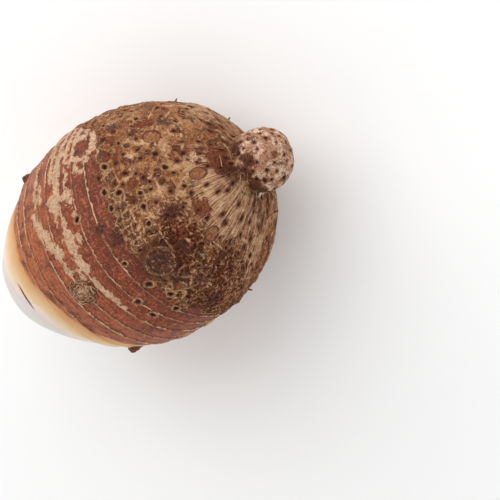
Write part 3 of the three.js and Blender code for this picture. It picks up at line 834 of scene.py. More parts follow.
def patch_share(station, around, patches):
    """1 in the middle of the nearest patch, 0 at its edge and less than 0 outside, in half widths."""
    share = np.full(station.shape, -FAR_AWAY)
    for middle, degrees, half_length, half_width in patches:
        along, sideways = spread_from(station, around, (middle, degrees))
        share = np.maximum(share, 1.0 - np.hypot(along / half_length, sideways / half_width))
    return share


def streak_depth(station, around):
    """Millimetres inside the nearest cork streak: its half width less the distance to its middle line."""
    depth = np.full(station.shape, -FAR_AWAY)
    for first_station, first_degrees, last_station, last_degrees, half_width in CORK_STREAKS:
        along, sideways = spread_from(station, around, (first_station, first_degrees))
        run = last_station - first_station
        rise = radius_at(station) * math.radians(last_degrees - first_degrees)
        share = np.clip((along * run + sideways * rise) / (run * run + rise * rise), 0.0, 1.0)
        distance = np.hypot(along - share * run, sideways - share * rise)
        depth = np.maximum(depth, half_width - distance)
    return depth


def nearest_round(station, around, rounds):
    """Distance to the middle of the nearest round feature, over its radius."""
    share = np.full(station.shape, FAR_AWAY)
    for middle, degrees, radius in rounds:
        along, sideways = spread_from(station, around, (middle, degrees))
        share = np.minimum(share, np.hypot(along, sideways) / radius)
    return share


def border_station(around, border):
    """The border's station at an angle, on straight lines between its given places."""
    degrees, stations = np.array(border, float).T
    return np.interp(np.degrees(around), degrees, stations)


def single_point(station, around):
    return skin_point(np.array(float(station)), np.array(float(around)))


def cad_scars():
    """The CAD model's root scars: random places in rows, none close to another or on a large feature."""
    random = seeded_random(SCAR_SEED)
    scars = [(row[0], math.radians(row[1]), *row[2:]) for row in TOP_SCARS]
    points = [single_point(station, around) for station, around, _, _ in scars]
    middles = [single_point(row[0], math.radians(row[1])) for row in LARGE_FEATURES]
    reaches = np.array([row[2] + SCAR_CLEARANCE for row in LARGE_FEATURES])
    for ring, count in SCAR_ROWS:
        start = random() * 2 * math.pi
        for i in range(count):
            station = ring + (random() - 0.5) * ROW_SCATTER
            around = float(wrapped(start + ((i + COLUMN_SCATTER * random()) / count) * 2 * math.pi))
            size = SMALLEST_SCAR + SCAR_SIZE_RANGE * random()
            rimmed = random() < RIMMED_SHARE
            point = single_point(station, around)
            near_neck = abs(station - NECK_STATION) < NECK_CLEARANCE
            on_flat_spot = point[2] < FLAT_SPOT_DEPTH + SPOT_CLEARANCE - BODY_RADIUS
            on_top = (TOP_SIDE_STATIONS[0] < station < TOP_SIDE_STATIONS[1]
                      and abs(around) < TOP_SIDE_HALF_ANGLE)
            too_close = np.linalg.norm(np.array(points) - point, axis=1).min() < SCAR_SPACING
            on_feature = (np.linalg.norm(np.array(middles) - point, axis=1) < reaches).any()
            if near_neck or on_flat_spot or on_top or too_close or on_feature:
                continue
            points.append(point)
            scars.append((station, around, size, rimmed))
    return scars, points


def all_scars():
    """The CAD model's root scars and the small ones, as rows of station, around, size and rim height."""
    scars, points = cad_scars()
    draws = np.random.default_rng(SMALL_SCAR_SEED)
    rows = [(s, a, size, RIM_SHARE * size if rimmed else LOW_RIM) for s, a, size, rimmed in scars]
    for station, degrees, size in KNOB_SCARS:
        around = math.radians(degrees)
        points.append(single_point(station, around))
        rows.append((station, around, size, LOW_RIM))
    wanted = len(rows) + SMALL_SCAR_LIMIT
    for _ in range(SMALL_SCAR_TRIES):
        station = draws.uniform(SMALL_SCAR_START, KNOB_TIP - SMALL_SCAR_TIP_GAP)
        around = draws.uniform(-math.pi, math.pi)
        size = draws.uniform(*SMALL_SCAR_SIZES)
        rim = SMALL_RIM_SHARE * size if draws.random() < SMALL_RIM_ODDS else SMALL_LOW_RIM
        place = (np.array(station), np.array(around))
        point = skin_point(*place)
        in_band = station < border_station(place[1], NET_BORDER) + SMALL_SCAR_NET_GAP
        thin_out = draws.random() * CUT_RADIUS > outline(place[0])[1] * NARROW_THINNING
        low = point[2] < SPOT_CLEARANCE - BODY_RADIUS
        near = np.linalg.norm(np.array(points) - point, axis=1).min() < SMALL_SCAR_SPACING
        distances = [np.hypot(*spread_from(*place, row)) - row[2] for row in LARGE_FEATURES]
        on_feature = min(distances) < SMALL_SCAR_CLEARANCE
        if in_band or thin_out or low or near or on_feature or len(rows) >= wanted:
            continue
        points.append(point)
        rows.append((station, around, size, rim))
    return np.array(rows)


SCARS = all_scars()


# Marks: what the skin is like at each place, kept as attributes that the material reads

def skin_marks(station, around):
    """Every field that relief and colour share, for points given as station and around."""
    base = skin_point(station, around)
    bent = np.stack([soft_height(base, noise) for noise in CELL_BENDS], -1)
    curled = np.stack([soft_height(base, noise) for noise in CELL_CURLS], -1)
    place = base + bent + curled
    large_border, large_draws = cell_borders(place, LARGE_CELL)
    small_border, small_draws = cell_borders(place, SMALL_CELL)
    pull = SMALL_CELL_PULL * bell(np.degrees(around), SMALL_CELL_MIDDLE, SMALL_CELL_SPREAD)
    small = smoothstep(soft_height(base, SMALL_CELL_AREAS) + pull, -0.08, 0.08)
    border = large_border + (small_border - large_border) * small
    draw = large_draws[:, 0] + (small_draws[:, 0] - large_draws[:, 0]) * small
    net_in = station - border_station(around, NET_BORDER) + rough_height(base, NET_EDGE_NOISE)
    crown_in = border_station(around, CROWN_BORDER) - station + rough_height(base, CROWN_EDGE_NOISE)
    wrap = np.stack([BODY_RADIUS * np.cos(around), BODY_RADIUS * np.sin(around), station], -1)
    marks = {
        "station": station,
        "around": around,
        "wrap": wrap,
        "place": place,
        "base": base,
        "border": border,
        "draw": draw,
        "small": small,
        "net_in": net_in,
        "crown_in": crown_in,
        "cork_in": streak_depth(station, around),
        "halo": scar_halo(station, around),
        "slit": slit_share(station, around),
        "knob": smoothstep(station, *KNOB_SKIN_RANGE),
    }
    for name, patches in PATCHES.items():
        marks[name] = patch_share(station, around, patches)
    for name, rounds in ROUNDS.items():
        marks[name] = nearest_round(station, around, rounds)
    return marks


def cork_share(marks):
    """1 where cork covers a ring band, with a ragged edge."""
    ragged = sum(soft_height(marks["base"], noise) for noise in CORK_EDGE_NOISES)
    return smoothstep(marks["cork_in"] + ragged, -0.3, 0.3)


def net_share(marks):
    """1 where the cork net is, 0 on the ring bands, in the discs and on smooth islands."""
    island = np.maximum(np.maximum(marks["red"], marks["pale"]), 0.0)
    whole = smoothstep(marks["net_in"], -0.8, 0.8)
    whole = whole * (1.0 - ISLAND_SMOOTHING * smoothstep(island, 0.0, 0.3))
    return whole * smoothstep(marks["disc"], 1.0, 1.2) * smoothstep(marks["broken"], 0.95, 1.15)


def fine_relief(marks):
    """Height of the fine relief in millimetres: net, cork, fibres, scabs, discs, broken scars and buds."""
    station, base = marks["station"], marks["base"]
    net = net_share(marks)
    line = 1.0 - smoothstep(marks["border"], NET_HALF_WIDTH, NET_HALF_WIDTH + NET_EDGE_WIDTH)
    sunk = CELL_SINK * (CELL_SINK_START + marks["draw"]) * (1.0 - line)
    lined = LOOSE_RELIEF + (1.0 - LOOSE_RELIEF) * smoothstep(marks["netted"], -0.1, 0.4)
    height = net * (lined * (NET_HEIGHT * line - sunk) + NET_LIFT)
    height += CORK_HEIGHT * cork_share(marks) * (1.0 - net)
    rough = smoothstep(marks["net_in"], -2.0, 3.0)
    fibres = soft_height(marks["wrap"] * ALONG_STRETCH, FIBRE_NOISE)
    height += rough * (fibres + rough_height(base, ROOT_HALF_NOISE))
    height += (1.0 - rough) * soft_height(marks["wrap"] * ROUND_STRETCH, BAND_NOISE)
    height += smoothstep(marks["dark"], 0.0, 0.6) * rough_height(base, SCAB_NOISE)
    in_disc = 1.0 - smoothstep(marks["disc"], 0.88, 1.02)
    height -= (DISC_DEPTH - DISC_CROWN * bell(marks["disc"], 0.0, DISC_CROWN_SPREAD)) * in_disc
    height += marks["knob"] * rough_height(base, KNOB_NOISE)
    height += broken_height(marks)
    height += bud_mound(station, marks["around"])
    on_body = (station > CROWN_CUT) * smoothstep(station - CROWN_CUT, 0.0, CROWN_SMOOTH_WIDTH)
    return height * on_body


def broken_height(marks):
    """A broken-off side corm's scar: a low rim with a dished, ridged middle."""
    share, base = marks["broken"], marks["base"]
    profile = np.interp(share, *np.array(BROKEN_PROFILE).T)
    ridges = BROKEN_RIDGE * np.sin(BROKEN_RIDGE_TURNS * share + rough_height(base, BROKEN_SWAY_NOISE))
    ridges = ridges + rough_height(base, BROKEN_GRAIN_NOISE)
    return profile + np.where(share < BROKEN_MIDDLE, ridges, 0.0)


def bud_mound(station, around):
    """The skin rises a little under each bud."""
    height = 0.0
    for middle, degrees, radius, _ in BUDS:
        along, sideways = spread_from(station, around, (middle, degrees))
        height = height + BUD_MOUND_HEIGHT * bell(np.hypot(along, sideways), 0.0, radius * BUD_MOUND_REACH)
    return height


def near_scars(station, around, reaches):
    """For each root scar: the points in its reach, their distance from it over the reach, and its size."""
    for (scar_station, scar_around, size, _), reach in zip(SCARS, reaches):
        near = np.flatnonzero(np.abs(station - scar_station) < reach)
        off = spread_from(station[near], around[near], (scar_station, math.degrees(scar_around)))
        yield near, np.minimum(np.hypot(*off) / reach, 1.0), size


def scar_halo(station, around):
    """1 next to a root scar's pit, fading to 0 some way off."""
    share = np.zeros(station.shape)
    reaches = HALO_REACH[0] + HALO_REACH[1] * SCARS[:, 2]
    for near, distance, _ in near_scars(station, around, reaches):
        share[near] = np.maximum(share[near], 1.0 - distance)
    return share


def scar_hollow(station, around):
    """How deep the skin sinks under the root scars, so that their pits stay open."""
    depth = np.zeros(station.shape)
    reaches = HOLLOW_REACH * np.maximum(SCARS[:, 2], 1.0)
    for near, distance, size in near_scars(station, around, reaches):
        full = HOLLOW_DEPTH[0] + HOLLOW_DEPTH[1] * size
        depth[near] = np.maximum(depth[near], full * (1.0 - distance**2) ** 1.5)
    return depth


# Meshes

def add_mark(piece, name, values):
    """Keeps an array of numbers, or of rows of three, as an attribute of the piece's points."""
    values = np.asarray(values, np.float32)
    is_vector = values.ndim == 2
    made = piece.data.attributes.new(name, "FLOAT_VECTOR" if is_vector else "FLOAT", "POINT")
    made.data.foreach_set("vector" if is_vector else "value", values.ravel())


def new_piece(name, points, faces, material, marks=None):
    """A mesh object from points in metres and a list of face arrays, with its marks as attributes."""
    mesh = bpy.data.meshes.new(name)
    mesh.from_pydata(points, [], np.concatenate(faces) if len(faces) > 1 else faces[0], shade_flat=False)
    mesh.materials.append(material)
    piece = bpy.data.objects.new(name, mesh)
    for key in SHADER_MARKS if marks else ():
        add_mark(piece, key, marks[key])
    bpy.context.scene.collection.objects.link(piece)
    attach(piece, BODY)
    return piece


def row_stations():
    """Stations of the mesh rows: close together at each ring, and otherwise evenly along the outline."""
    grouped = (
        ((CROWN_CUT,), CUT_ROW_OFFSETS),
        ([FACE_CENTRE + edge for edge in SHEATH_RADII], SHEATH_ROW_OFFSETS),
        (CROWN_RINGS, RING_ROW_OFFSETS),
        (ROOT_RINGS, ROOT_RING_ROW_OFFSETS),
        ((SLIT_STATION,), SLIT_ROW_OFFSETS),
    )
    keys = [FACE_CENTRE + FACE_POLE_GAP, NECK_STATION, KNOB_CENTRE, KNOB_TIP - TIP_POLE_GAP]
    keys += [station + off for stations, offsets in grouped for station in stations for off in offsets]
    keys = sorted(keys)
    rows = []
    for first, last in zip(keys, keys[1:]):
        stations = np.linspace(first, last, OUTLINE_SAMPLES)
        along, radius = outline(stations)
        length = np.hypot(np.diff(along), np.diff(radius)).sum()
        count = max(1, math.ceil(length / ROW_STEP - ROW_SLACK))
        rows += list(np.linspace(first, last, count, endpoint=False))
    return rows + [keys[-1]]


def strip_faces(first, first_columns, last, last_columns):
    """Triangles between two rows of points, where one row may have twice the columns of the other."""
    count = min(first_columns, last_columns)
    column = np.arange(count)
    beside = (column + 1) % count
    if first_columns == last_columns:
        a, b, c, d = first + column, last + column, last + beside, first + beside
        return np.concatenate([np.stack([a, b, d], -1), np.stack([d, b, c], -1)])
    fine, coarse = (first, last) if first_columns > last_columns else (last, first)
    before = fine + 2 * column
    middle = before + 1
    after = fine + 2 * beside
    corners = [(before, coarse + column, middle), (middle, coarse + column, coarse + beside),
               (middle, coarse + beside, after)]
    if first_columns < last_columns:
        corners = [(a, c, b) for a, b, c in corners]
    return np.concatenate([np.stack(corner, -1) for corner in corners])


def skin_grid():
    """Station and around of every point of the skin, and its triangles, with a pole at each end."""
    stations = row_stations()
    radii = outline(np.array(stations))[1]
    columns = [BODY_COLUMNS if radius > WIDE_RADIUS else END_COLUMNS for radius in radii]
    starts = np.concatenate([[0], np.cumsum(columns)])
    station = np.concatenate([np.full(n, s) for s, n in zip(stations, columns)])
    around = np.concatenate([wrapped(np.arange(n) * 2 * math.pi / n) for n in columns])
    pairs = range(len(columns) - 1)
    faces = [strip_faces(starts[i], columns[i], starts[i + 1], columns[i + 1]) for i in pairs]
    poles = starts[-1] + np.arange(2)
    station = np.append(station, [FACE_CENTRE, KNOB_TIP])
    around = np.append(around, [0.0, 0.0])
    first = np.arange(columns[0])
    last = starts[-2] + np.arange(columns[-1])
    faces.append(np.stack([np.full(len(first), poles[0]), first, np.roll(first, -1)], -1))
    faces.append(np.stack([np.full(len(last), poles[1]), np.roll(last, -1), last], -1))
    return station, around, faces


def build_skin(material):
    """The whole skin: the CAD model's form, with fine relief along its outward direction."""
    station, around, faces = skin_grid()
    marks = skin_marks(station, around)
    marks["pit"] = np.zeros(len(station))
    marks["rim"] = np.zeros(len(station))
    point, outward, _, _ = skin_frame(station, around)
    lift = fine_relief(marks) - scar_hollow(station, around)
    piece = new_piece("corm", in_frame(point + outward * lift[:, None]), faces, material, marks)
    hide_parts(NODE)


def scar_rings():
    """Radii and heights of every scar's rings of points, in millimetres, and their darkness and rim."""
    draws = np.random.default_rng(SMALL_SCAR_SEED + 1)
    count = len(SCARS)
    size, rim = SCARS[:, 2, None, None], SCARS[:, 3, None, None]
    turn = np.arange(SCAR_SIDES) * 2 * math.pi / SCAR_SIDES
    even = np.ones((count, 1, SCAR_SIDES))
    lobes = 1.0 + SCAR_LOBES * draws.normal(size=even.shape)
    squash = SCAR_SQUASH * draws.random((count, 1, 1))
    squash = 1.0 + squash * np.cos(2 * (turn - draws.uniform(0, math.pi, (count, 1, 1))))
    columns = np.array(SCAR_PROFILE).T[:, None, :, None]
    way_out, apron_rim, apron_lift = np.array(SCAR_APRON).T[:, None, :, None]
    nothing = np.zeros(way_out.shape)
    inner = columns[0] * SCAR_PIT_RADIUS * size * lobes * squash
    apron = np.maximum(APRON_REACH[0] * size, APRON_REACH[1]) * even
    outer = (1.0 - way_out) * inner[:, -1:] + way_out * apron
    pit_height = np.concatenate([columns[1], nothing], 1) * SCAR_PIT_DEPTH * size
    rim_height = np.concatenate([columns[2], apron_rim], 1) * rim
    lift = np.concatenate([nothing[:, :1].repeat(len(SCAR_PROFILE), 1), apron_lift], 1)
    height = (pit_height + rim_height + lift) * even
    darkness = np.concatenate([columns[3], nothing], 1) * even
    paleness = np.concatenate([columns[4], nothing], 1) * even * smoothstep(rim, *PALE_RIM_HEIGHTS)
    return np.concatenate([inner, outer], 1), turn, height, darkness, paleness


def build_root_scars(material):
    """Every root scar as a small closed crater: rings of points about its middle and two end points."""
    radii, turn, height, darkness, paleness = scar_rings()
    station, around, size = (SCARS[:, i][:, None, None] for i in range(3))
    at_station = station + radii * np.cos(turn)
    at_around = around + radii * np.sin(turn) / radius_at(station)
    all_station = np.concatenate([at_station.reshape(-1), np.repeat(SCARS[:, 0], 2)])
    all_around = wrapped(np.concatenate([at_around.reshape(-1), np.repeat(SCARS[:, 1], 2)]))
    poles = [-(fixed + share * size.reshape(-1)) for fixed, share in (PIT_BOTTOM, CRATER_BASE)]
    marks = skin_marks(all_station, all_around)
    marks["pit"] = np.concatenate([darkness.reshape(-1), np.ones(2 * len(SCARS))])
    marks["rim"] = np.concatenate([paleness.reshape(-1), np.zeros(2 * len(SCARS))])
    point, outward, _, _ = skin_frame(all_station, all_around)
    lift = np.concatenate([height.reshape(-1), np.stack(poles, -1).reshape(-1)]) + fine_relief(marks)
    faces = crater_faces(len(SCARS), radii.shape[1])
    new_piece("root_scars", in_frame(point + outward * lift[:, None]), [faces], material, marks)


def crater_faces(count, rows):
    """Triangles of all craters: outward from the pit's middle, then back under to the last point."""
    ring = SCAR_SIDES
    column = np.arange(ring)
    beside = (column + 1) % ring
    grid = (np.arange(count) * rows * ring)[:, None]
    poles = (count * rows * ring + 2 * np.arange(count))[:, None]
    parts = []
    for row in range(rows - 1):
        a = grid + row * ring + column
        b = grid + (row + 1) * ring + column
        c = grid + (row + 1) * ring + beside
        d = grid + row * ring + beside
        parts += [np.stack([a, b, c], -1), np.stack([a, c, d], -1)]
    inner, inner_beside = grid + column, grid + beside
    outer, outer_beside = grid + (rows - 1) * ring + column, grid + (rows - 1) * ring + beside
    parts.append(np.stack([np.broadcast_to(poles, inner.shape), inner, inner_beside], -1))
    parts.append(np.stack([np.broadcast_to(poles + 1, outer.shape), outer_beside, outer], -1))
    return np.concatenate([part.reshape(-1, 3) for part in parts])


# Buds and fibres

def place_frame(station, degrees, lean):
    """A point of the skin, an axis out of it leaning towards the crown, and two unit vectors across it."""
    point, outward, along, _ = skin_frame(float(station), math.radians(degrees))
    axis = unit(outward - lean * np.array((1.0, 0.0, 0.0)))
    across = unit(along - axis * np.dot(along, axis))
    return point, axis, across, np.cross(axis, across)


def build_buds(material):
    """Blunt cones that lean towards the crown, each wrapped in scales: a spiral sawtooth on the radius."""
    turn = np.arange(BUD_SIDES) * 2 * math.pi / BUD_SIDES
    share = np.linspace(0.0, 1.0, BUD_ROWS)[:, None]
    points, edges, dry, faces = [], [], [], []
    for number, (station, degrees, radius, height) in enumerate(BUDS):
        point, axis, across, beside = place_frame(station, degrees, BUD_LEAN)
        spiral = (share * BUD_SCALE_TURNS + turn / (2 * math.pi) + BUD_START_STEP * number) % 1.0
        lumps = 1.0 + sum(full * np.sin(waves * turn + (i + 1) * number)
                          for i, (full, waves) in enumerate(BUD_LUMPS))
        cone = radius * (1.0 - share ** BUD_BLUNTNESS[0]) ** BUD_BLUNTNESS[1]
        foot = BUD_FOOT * radius * (1.0 - smoothstep(share, 0.0, BUD_FOOT_HEIGHT))
        out = cone * lumps + BUD_SCALE_STEP * (1.0 - spiral) * (share < BUD_TIP) + foot
        up = -BUD_SUNK + (height + BUD_SUNK) * share + 0.0 * turn
        ring = across * np.cos(turn)[:, None] + beside * np.sin(turn)[:, None]
        body = point + axis * up[:, :, None] + ring[None] * out[:, :, None]
        start = sum(len(rows) for rows in points)
        ends = [point - axis * BUD_SUNK, point + axis * (height + BUD_TIP_RISE)]
        points.append(np.concatenate([body.reshape(-1, 3), ends]))
        edges.append(np.concatenate([spiral.reshape(-1), [0.5, 0.5]]))
        dry.append(np.full(BUD_ROWS * BUD_SIDES + 2, 1.0 if number == 0 else 0.0))
        grid = start + np.arange(BUD_ROWS * BUD_SIDES).reshape(BUD_ROWS, BUD_SIDES)
        after = np.roll(grid, -1, axis=1)
        a, b, c, d = grid[:-1], after[:-1], after[1:], grid[1:]
        base, tip = start + grid.size, start + grid.size + 1
        faces += [np.stack([a, b, c], -1).reshape(-1, 3), np.stack([a, c, d], -1).reshape(-1, 3)]
        faces.append(np.stack([np.full(BUD_SIDES, base), after[0], grid[0]], -1))
        faces.append(np.stack([np.full(BUD_SIDES, tip), grid[-1], after[-1]], -1))
    piece = new_piece("buds", in_frame(np.concatenate(points)), faces, material)
    add_mark(piece, "edge", np.concatenate(edges))
    add_mark(piece, "dry", np.concatenate(dry))


def tube_mesh(paths, radii, tones):
    """Thin closed tubes along paths of points. Their cross section is a square that keeps its turn."""
    count, length, _ = paths.shape
    ahead = unit(np.gradient(paths, axis=1))
    across = unit(np.cross(ahead, np.array(TUBE_SIDE)))
    beside = np.cross(ahead, across)
    turn = np.arange(TUBE_SIDES) * 2 * math.pi / TUBE_SIDES
    ring = across[:, :, None] * np.cos(turn)[:, None] + beside[:, :, None] * np.sin(turn)[:, None]
    body = paths[:, :, None] + ring * radii[:, :, None, None]
    grid = np.arange(count * length * TUBE_SIDES).reshape(count, length, TUBE_SIDES)
    after = np.roll(grid, -1, axis=2)
    a, b, c, d = grid[:, :-1], after[:, :-1], after[:, 1:], grid[:, 1:]
    sides = [np.stack([a, b, c], -1).reshape(-1, 3), np.stack([a, c, d], -1).reshape(-1, 3)]
    first, last = grid[:, 0], grid[:, -1]
    caps = [first[:, [0, 2, 1]], first[:, [0, 3, 2]], last[:, [0, 1, 2]], last[:, [0, 2, 3]]]
    return body.reshape(-1, 3), sides + caps, np.repeat(tones, length * TUBE_SIDES)


def skin_paths(station, around, lift):
    """Paths just over the skin, from arrays of station, around and lift with one row to each path."""
    point, outward, _, _ = skin_frame(station, around)
    return point + outward * lift[..., None]


def nest_paths(draws):
    """Fibres that lie in rough arcs round the large bud, the outer ones lower."""
    station, degrees, radius, height = BUDS[0]
    each, point = (NEST_FIBRES, 1), (NEST_FIBRES, FIBRE_POINTS)
    reach = draws.uniform(0.3, 1.3, each) * radius
    start = draws.uniform(0.0, 2 * math.pi, each)
    sweep = draws.uniform(0.5, 1.9, each) * draws.choice((-1.0, 1.0), each)
    drift = draws.uniform(-0.4, 0.45, each) * radius * FIBRE_STEPS
    out = reach + drift + draws.normal(0.0, 0.06, point) * radius
    turn = start + sweep * FIBRE_STEPS
    over_bud = height * 0.75 * np.clip(1.25 - out / radius, 0.0, 0.6)
    lift = 0.25 + over_bud + draws.uniform(-0.1, 0.9, each) + draws.normal(0.0, 0.25, point)
    around = math.radians(degrees) + out * np.sin(turn) / outline(np.array(float(station)))[1]
    return skin_paths(station + out * np.cos(turn), around, lift)


def loose_paths(draws):
    """Dry fibres along the cork, most of them half sunk, with one end a little up."""
    each = (LOOSE_FIBRES, 1)
    station = draws.uniform(24.0, NECK_STATION - 1.0, each)
    around = draws.uniform(-math.pi, math.pi, each)
    length = draws.uniform(3.0, 8.5, each) * smoothstep(station, 10.0, 75.0)
    sway = draws.normal(0.0, 0.05, each) + draws.normal(0.0, 0.02, (LOOSE_FIBRES, FIBRE_POINTS))
    lift = draws.uniform(-0.05, 0.3, each) + draws.uniform(0.0, 0.7, each) * FIBRE_STEPS**2
    stations = np.minimum(station + length * FIBRE_STEPS, NECK_STATION + 3)
    return skin_paths(stations, around + sway * FIBRE_STEPS, lift)


def knob_paths(draws):
    """Fibres in the groove round the knob."""
    each = (KNOB_FIBRES, 1)
    station = NECK_STATION + draws.uniform(-4.0, 3.5, each)
    around = draws.uniform(-math.pi, math.pi, each)
    run = draws.uniform(-3.0, 5.0, each)
    swing = draws.uniform(-0.35, 0.35, each)
    lift = draws.uniform(0.1, 0.6, each) + 0.5 * np.sin(math.pi * FIBRE_STEPS)
    return skin_paths(station + run * FIBRE_STEPS, around + swing * FIBRE_STEPS, lift)


def stub_paths():
    """Dry root stubs, each a little bent towards the root end."""
    step = FIBRE_STEPS[:, None]
    paths = []
    for station, degrees, length in ROOT_STUBS:
        point, axis, across, beside = place_frame(station, degrees, STUB_LEAN)
        bend = length * (STUB_BEND * across * step**2 + STUB_SWAY * beside * np.sin(3.0 * step))
        paths.append(point - axis * STUB_SUNK + axis * (length + STUB_SUNK) * step + bend)
    return np.array(paths)


def build_fibres(material):
    """Dry fibres and root stubs as thin tubes, tapered to their free ends."""
    draws = np.random.default_rng(FIBRE_SEED)
    groups = [nest_paths(draws), loose_paths(draws), knob_paths(draws), stub_paths()]
    thickness = (
        draws.uniform(*NEST_THICKNESS, NEST_FIBRES),
        draws.uniform(*LOOSE_THICKNESS, LOOSE_FIBRES),
        draws.uniform(*KNOB_THICKNESS, KNOB_FIBRES),
        np.full(len(ROOT_STUBS), STUB_RADIUS),
    )
    tones = (
        draws.uniform(0.0, 1.0, NEST_FIBRES) ** NEST_TONE_POWER,
        draws.uniform(*LOOSE_TONES, LOOSE_FIBRES),
        draws.uniform(*KNOB_TONES, KNOB_FIBRES),
        np.full(len(ROOT_STUBS), STUB_TONE),
    )
    paths = np.concatenate(groups)
    radii = np.concatenate(thickness)[:, None] * np.linspace(1.0, FIBRE_TIP, FIBRE_POINTS)
    points, faces, tone = tube_mesh(paths, radii, np.concatenate(tones))
    piece = new_piece("fibres", in_frame(points), faces, material)
    add_mark(piece, "tone", tone)


# Materials

class Graph:
    """Adds nodes to a material. An input is a plain value or another node's output."""

    def __init__(self, name):
        self.material = bpy.data.materials.new(name)
        self.material.use_nodes = True
        self.tree = self.material.node_tree
        self.tree.nodes.clear()
        self.count = 0

    def node(self, kind, inputs=(), **settings):
        made = self.tree.nodes.new(kind)
        row, column = divmod(self.count, NODES_IN_ROW)
        made.location = (NODE_SPACING[0] * column, -NODE_SPACING[1] * row)
        self.count += 1
        for name, value in settings.items():
            setattr(made, name, value)
        for socket, value in dict(inputs).items():
            self.feed(made.inputs[socket], value)
        return made

    def feed(self, socket, value):
        if isinstance(value, bpy.types.NodeSocket):
            self.tree.links.new(value, socket)
        elif socket.type == "RGBA":
            socket.default_value = (*value, 1.0)
        else:
            socket.default_value = value

    def math(self, operation, first, second=0.0):
        return self.node("ShaderNodeMath", {0: first, 1: second}, operation=operation).outputs[0]

    def times(self, first, *others):
        """The product of two or more values."""
        for other in others:
            first = self.math("MULTIPLY", first, other)
        return first

    def plus(self, first, second, factor):
        """The first value and the second times a factor."""
        return self.math("ADD", first, self.times(second, factor))

    def minus(self, first, second):
        return self.math("SUBTRACT", first, second)

    def away(self, value, target):
        """How far a value is from a target, either way."""
        return self.math("ABSOLUTE", self.minus(value, target))

    def nearest(self, value, targets):
        """The smallest distance from a value to any of the targets."""
        distance = self.away(value, targets[0])
        for target in targets[1:]:
            distance = self.math("MINIMUM", distance, self.away(value, target))
        return distance

    def share(self, value, low, high):
        """0 at low and 1 at high, evenly in between."""
        inputs = {"Value": value, "From Min": low, "From Max": high}
        return self.node("ShaderNodeMapRange", inputs).outputs[0]

    def step(self, value, low, high, start=0.0, end=1.0):
        """From start to end while the value goes from low to high, on an even S curve."""
        inputs = {"Value": value, "From Min": low, "From Max": high, "To Min": start, "To Max": end}
        return self.node("ShaderNodeMapRange", inputs, interpolation_type="SMOOTHSTEP").outputs[0]

    def mix(self, share, first, second, blend="MIX"):
        inputs = {0: share, 6: first, 7: second}
        return self.node("ShaderNodeMix", inputs, data_type="RGBA", blend_type=blend).outputs[2]

    def layers(self, tint, *rows):
        """Tints laid over one another. A row: value, where its tint begins and is full, share, tint."""
        for value, low, high, share, top in rows:
            tint = self.mix(self.step(value, low, high, 0.0, share), tint, top)
        return tint

    def blend(self, share, first, second):
        """A number between two others."""
        inputs = {0: share, 2: first, 3: second}
        return self.node("ShaderNodeMix", inputs, data_type="FLOAT").outputs[0]

    def noise(self, place, size, detail=3.0, roughness=0.6):
        inputs = {"Vector": place, "Scale": 1.0 / size, "Detail": detail, "Roughness": roughness}
        return self.node("ShaderNodeTexNoise", inputs, noise_dimensions="3D").outputs["Fac"]

    def cells(self, place, size, feature="F1"):
        inputs = {"Vector": place, "Scale": 1.0 / size}
        return self.node("ShaderNodeTexVoronoi", inputs, voronoi_dimensions="3D", feature=feature).outputs

    def stretched(self, vector, scales):
        return self.node("ShaderNodeVectorMath", {0: vector, 1: scales}, operation="MULTIPLY").outputs[0]

    def mark(self, name, output="Fac"):
        return self.node("ShaderNodeAttribute", attribute_name=name).outputs[output]

    def ramp(self, share, stops, interpolation="LINEAR"):
        """Tints at places from 0 to 1."""
        made = self.node("ShaderNodeValToRGB", {0: share})
        made.color_ramp.interpolation = interpolation
        elements = made.color_ramp.elements
        while len(elements) < len(stops):
            elements.new(0.5)
        for element, (place, tint) in zip(elements, stops):
            element.position = place
            element.color = (*tint, 1.0)
        return made.outputs[0]

    def finish(self, tint, roughness, height):
        """One Principled shader, with a bump whose height is in millimetres."""
        bump = self.node("ShaderNodeBump", {"Height": height, "Distance": MM, "Strength": 1.0}).outputs[0]
        inputs = {"Base Color": tint, "Roughness": roughness, "Normal": bump}
        shader = self.node("ShaderNodeBsdfPrincipled", {**inputs, "Specular IOR Level": SPECULAR})
        output = self.node("ShaderNodeOutputMaterial", {"Surface": shader.outputs[0]})
        output.is_active_output = True
        return self.material


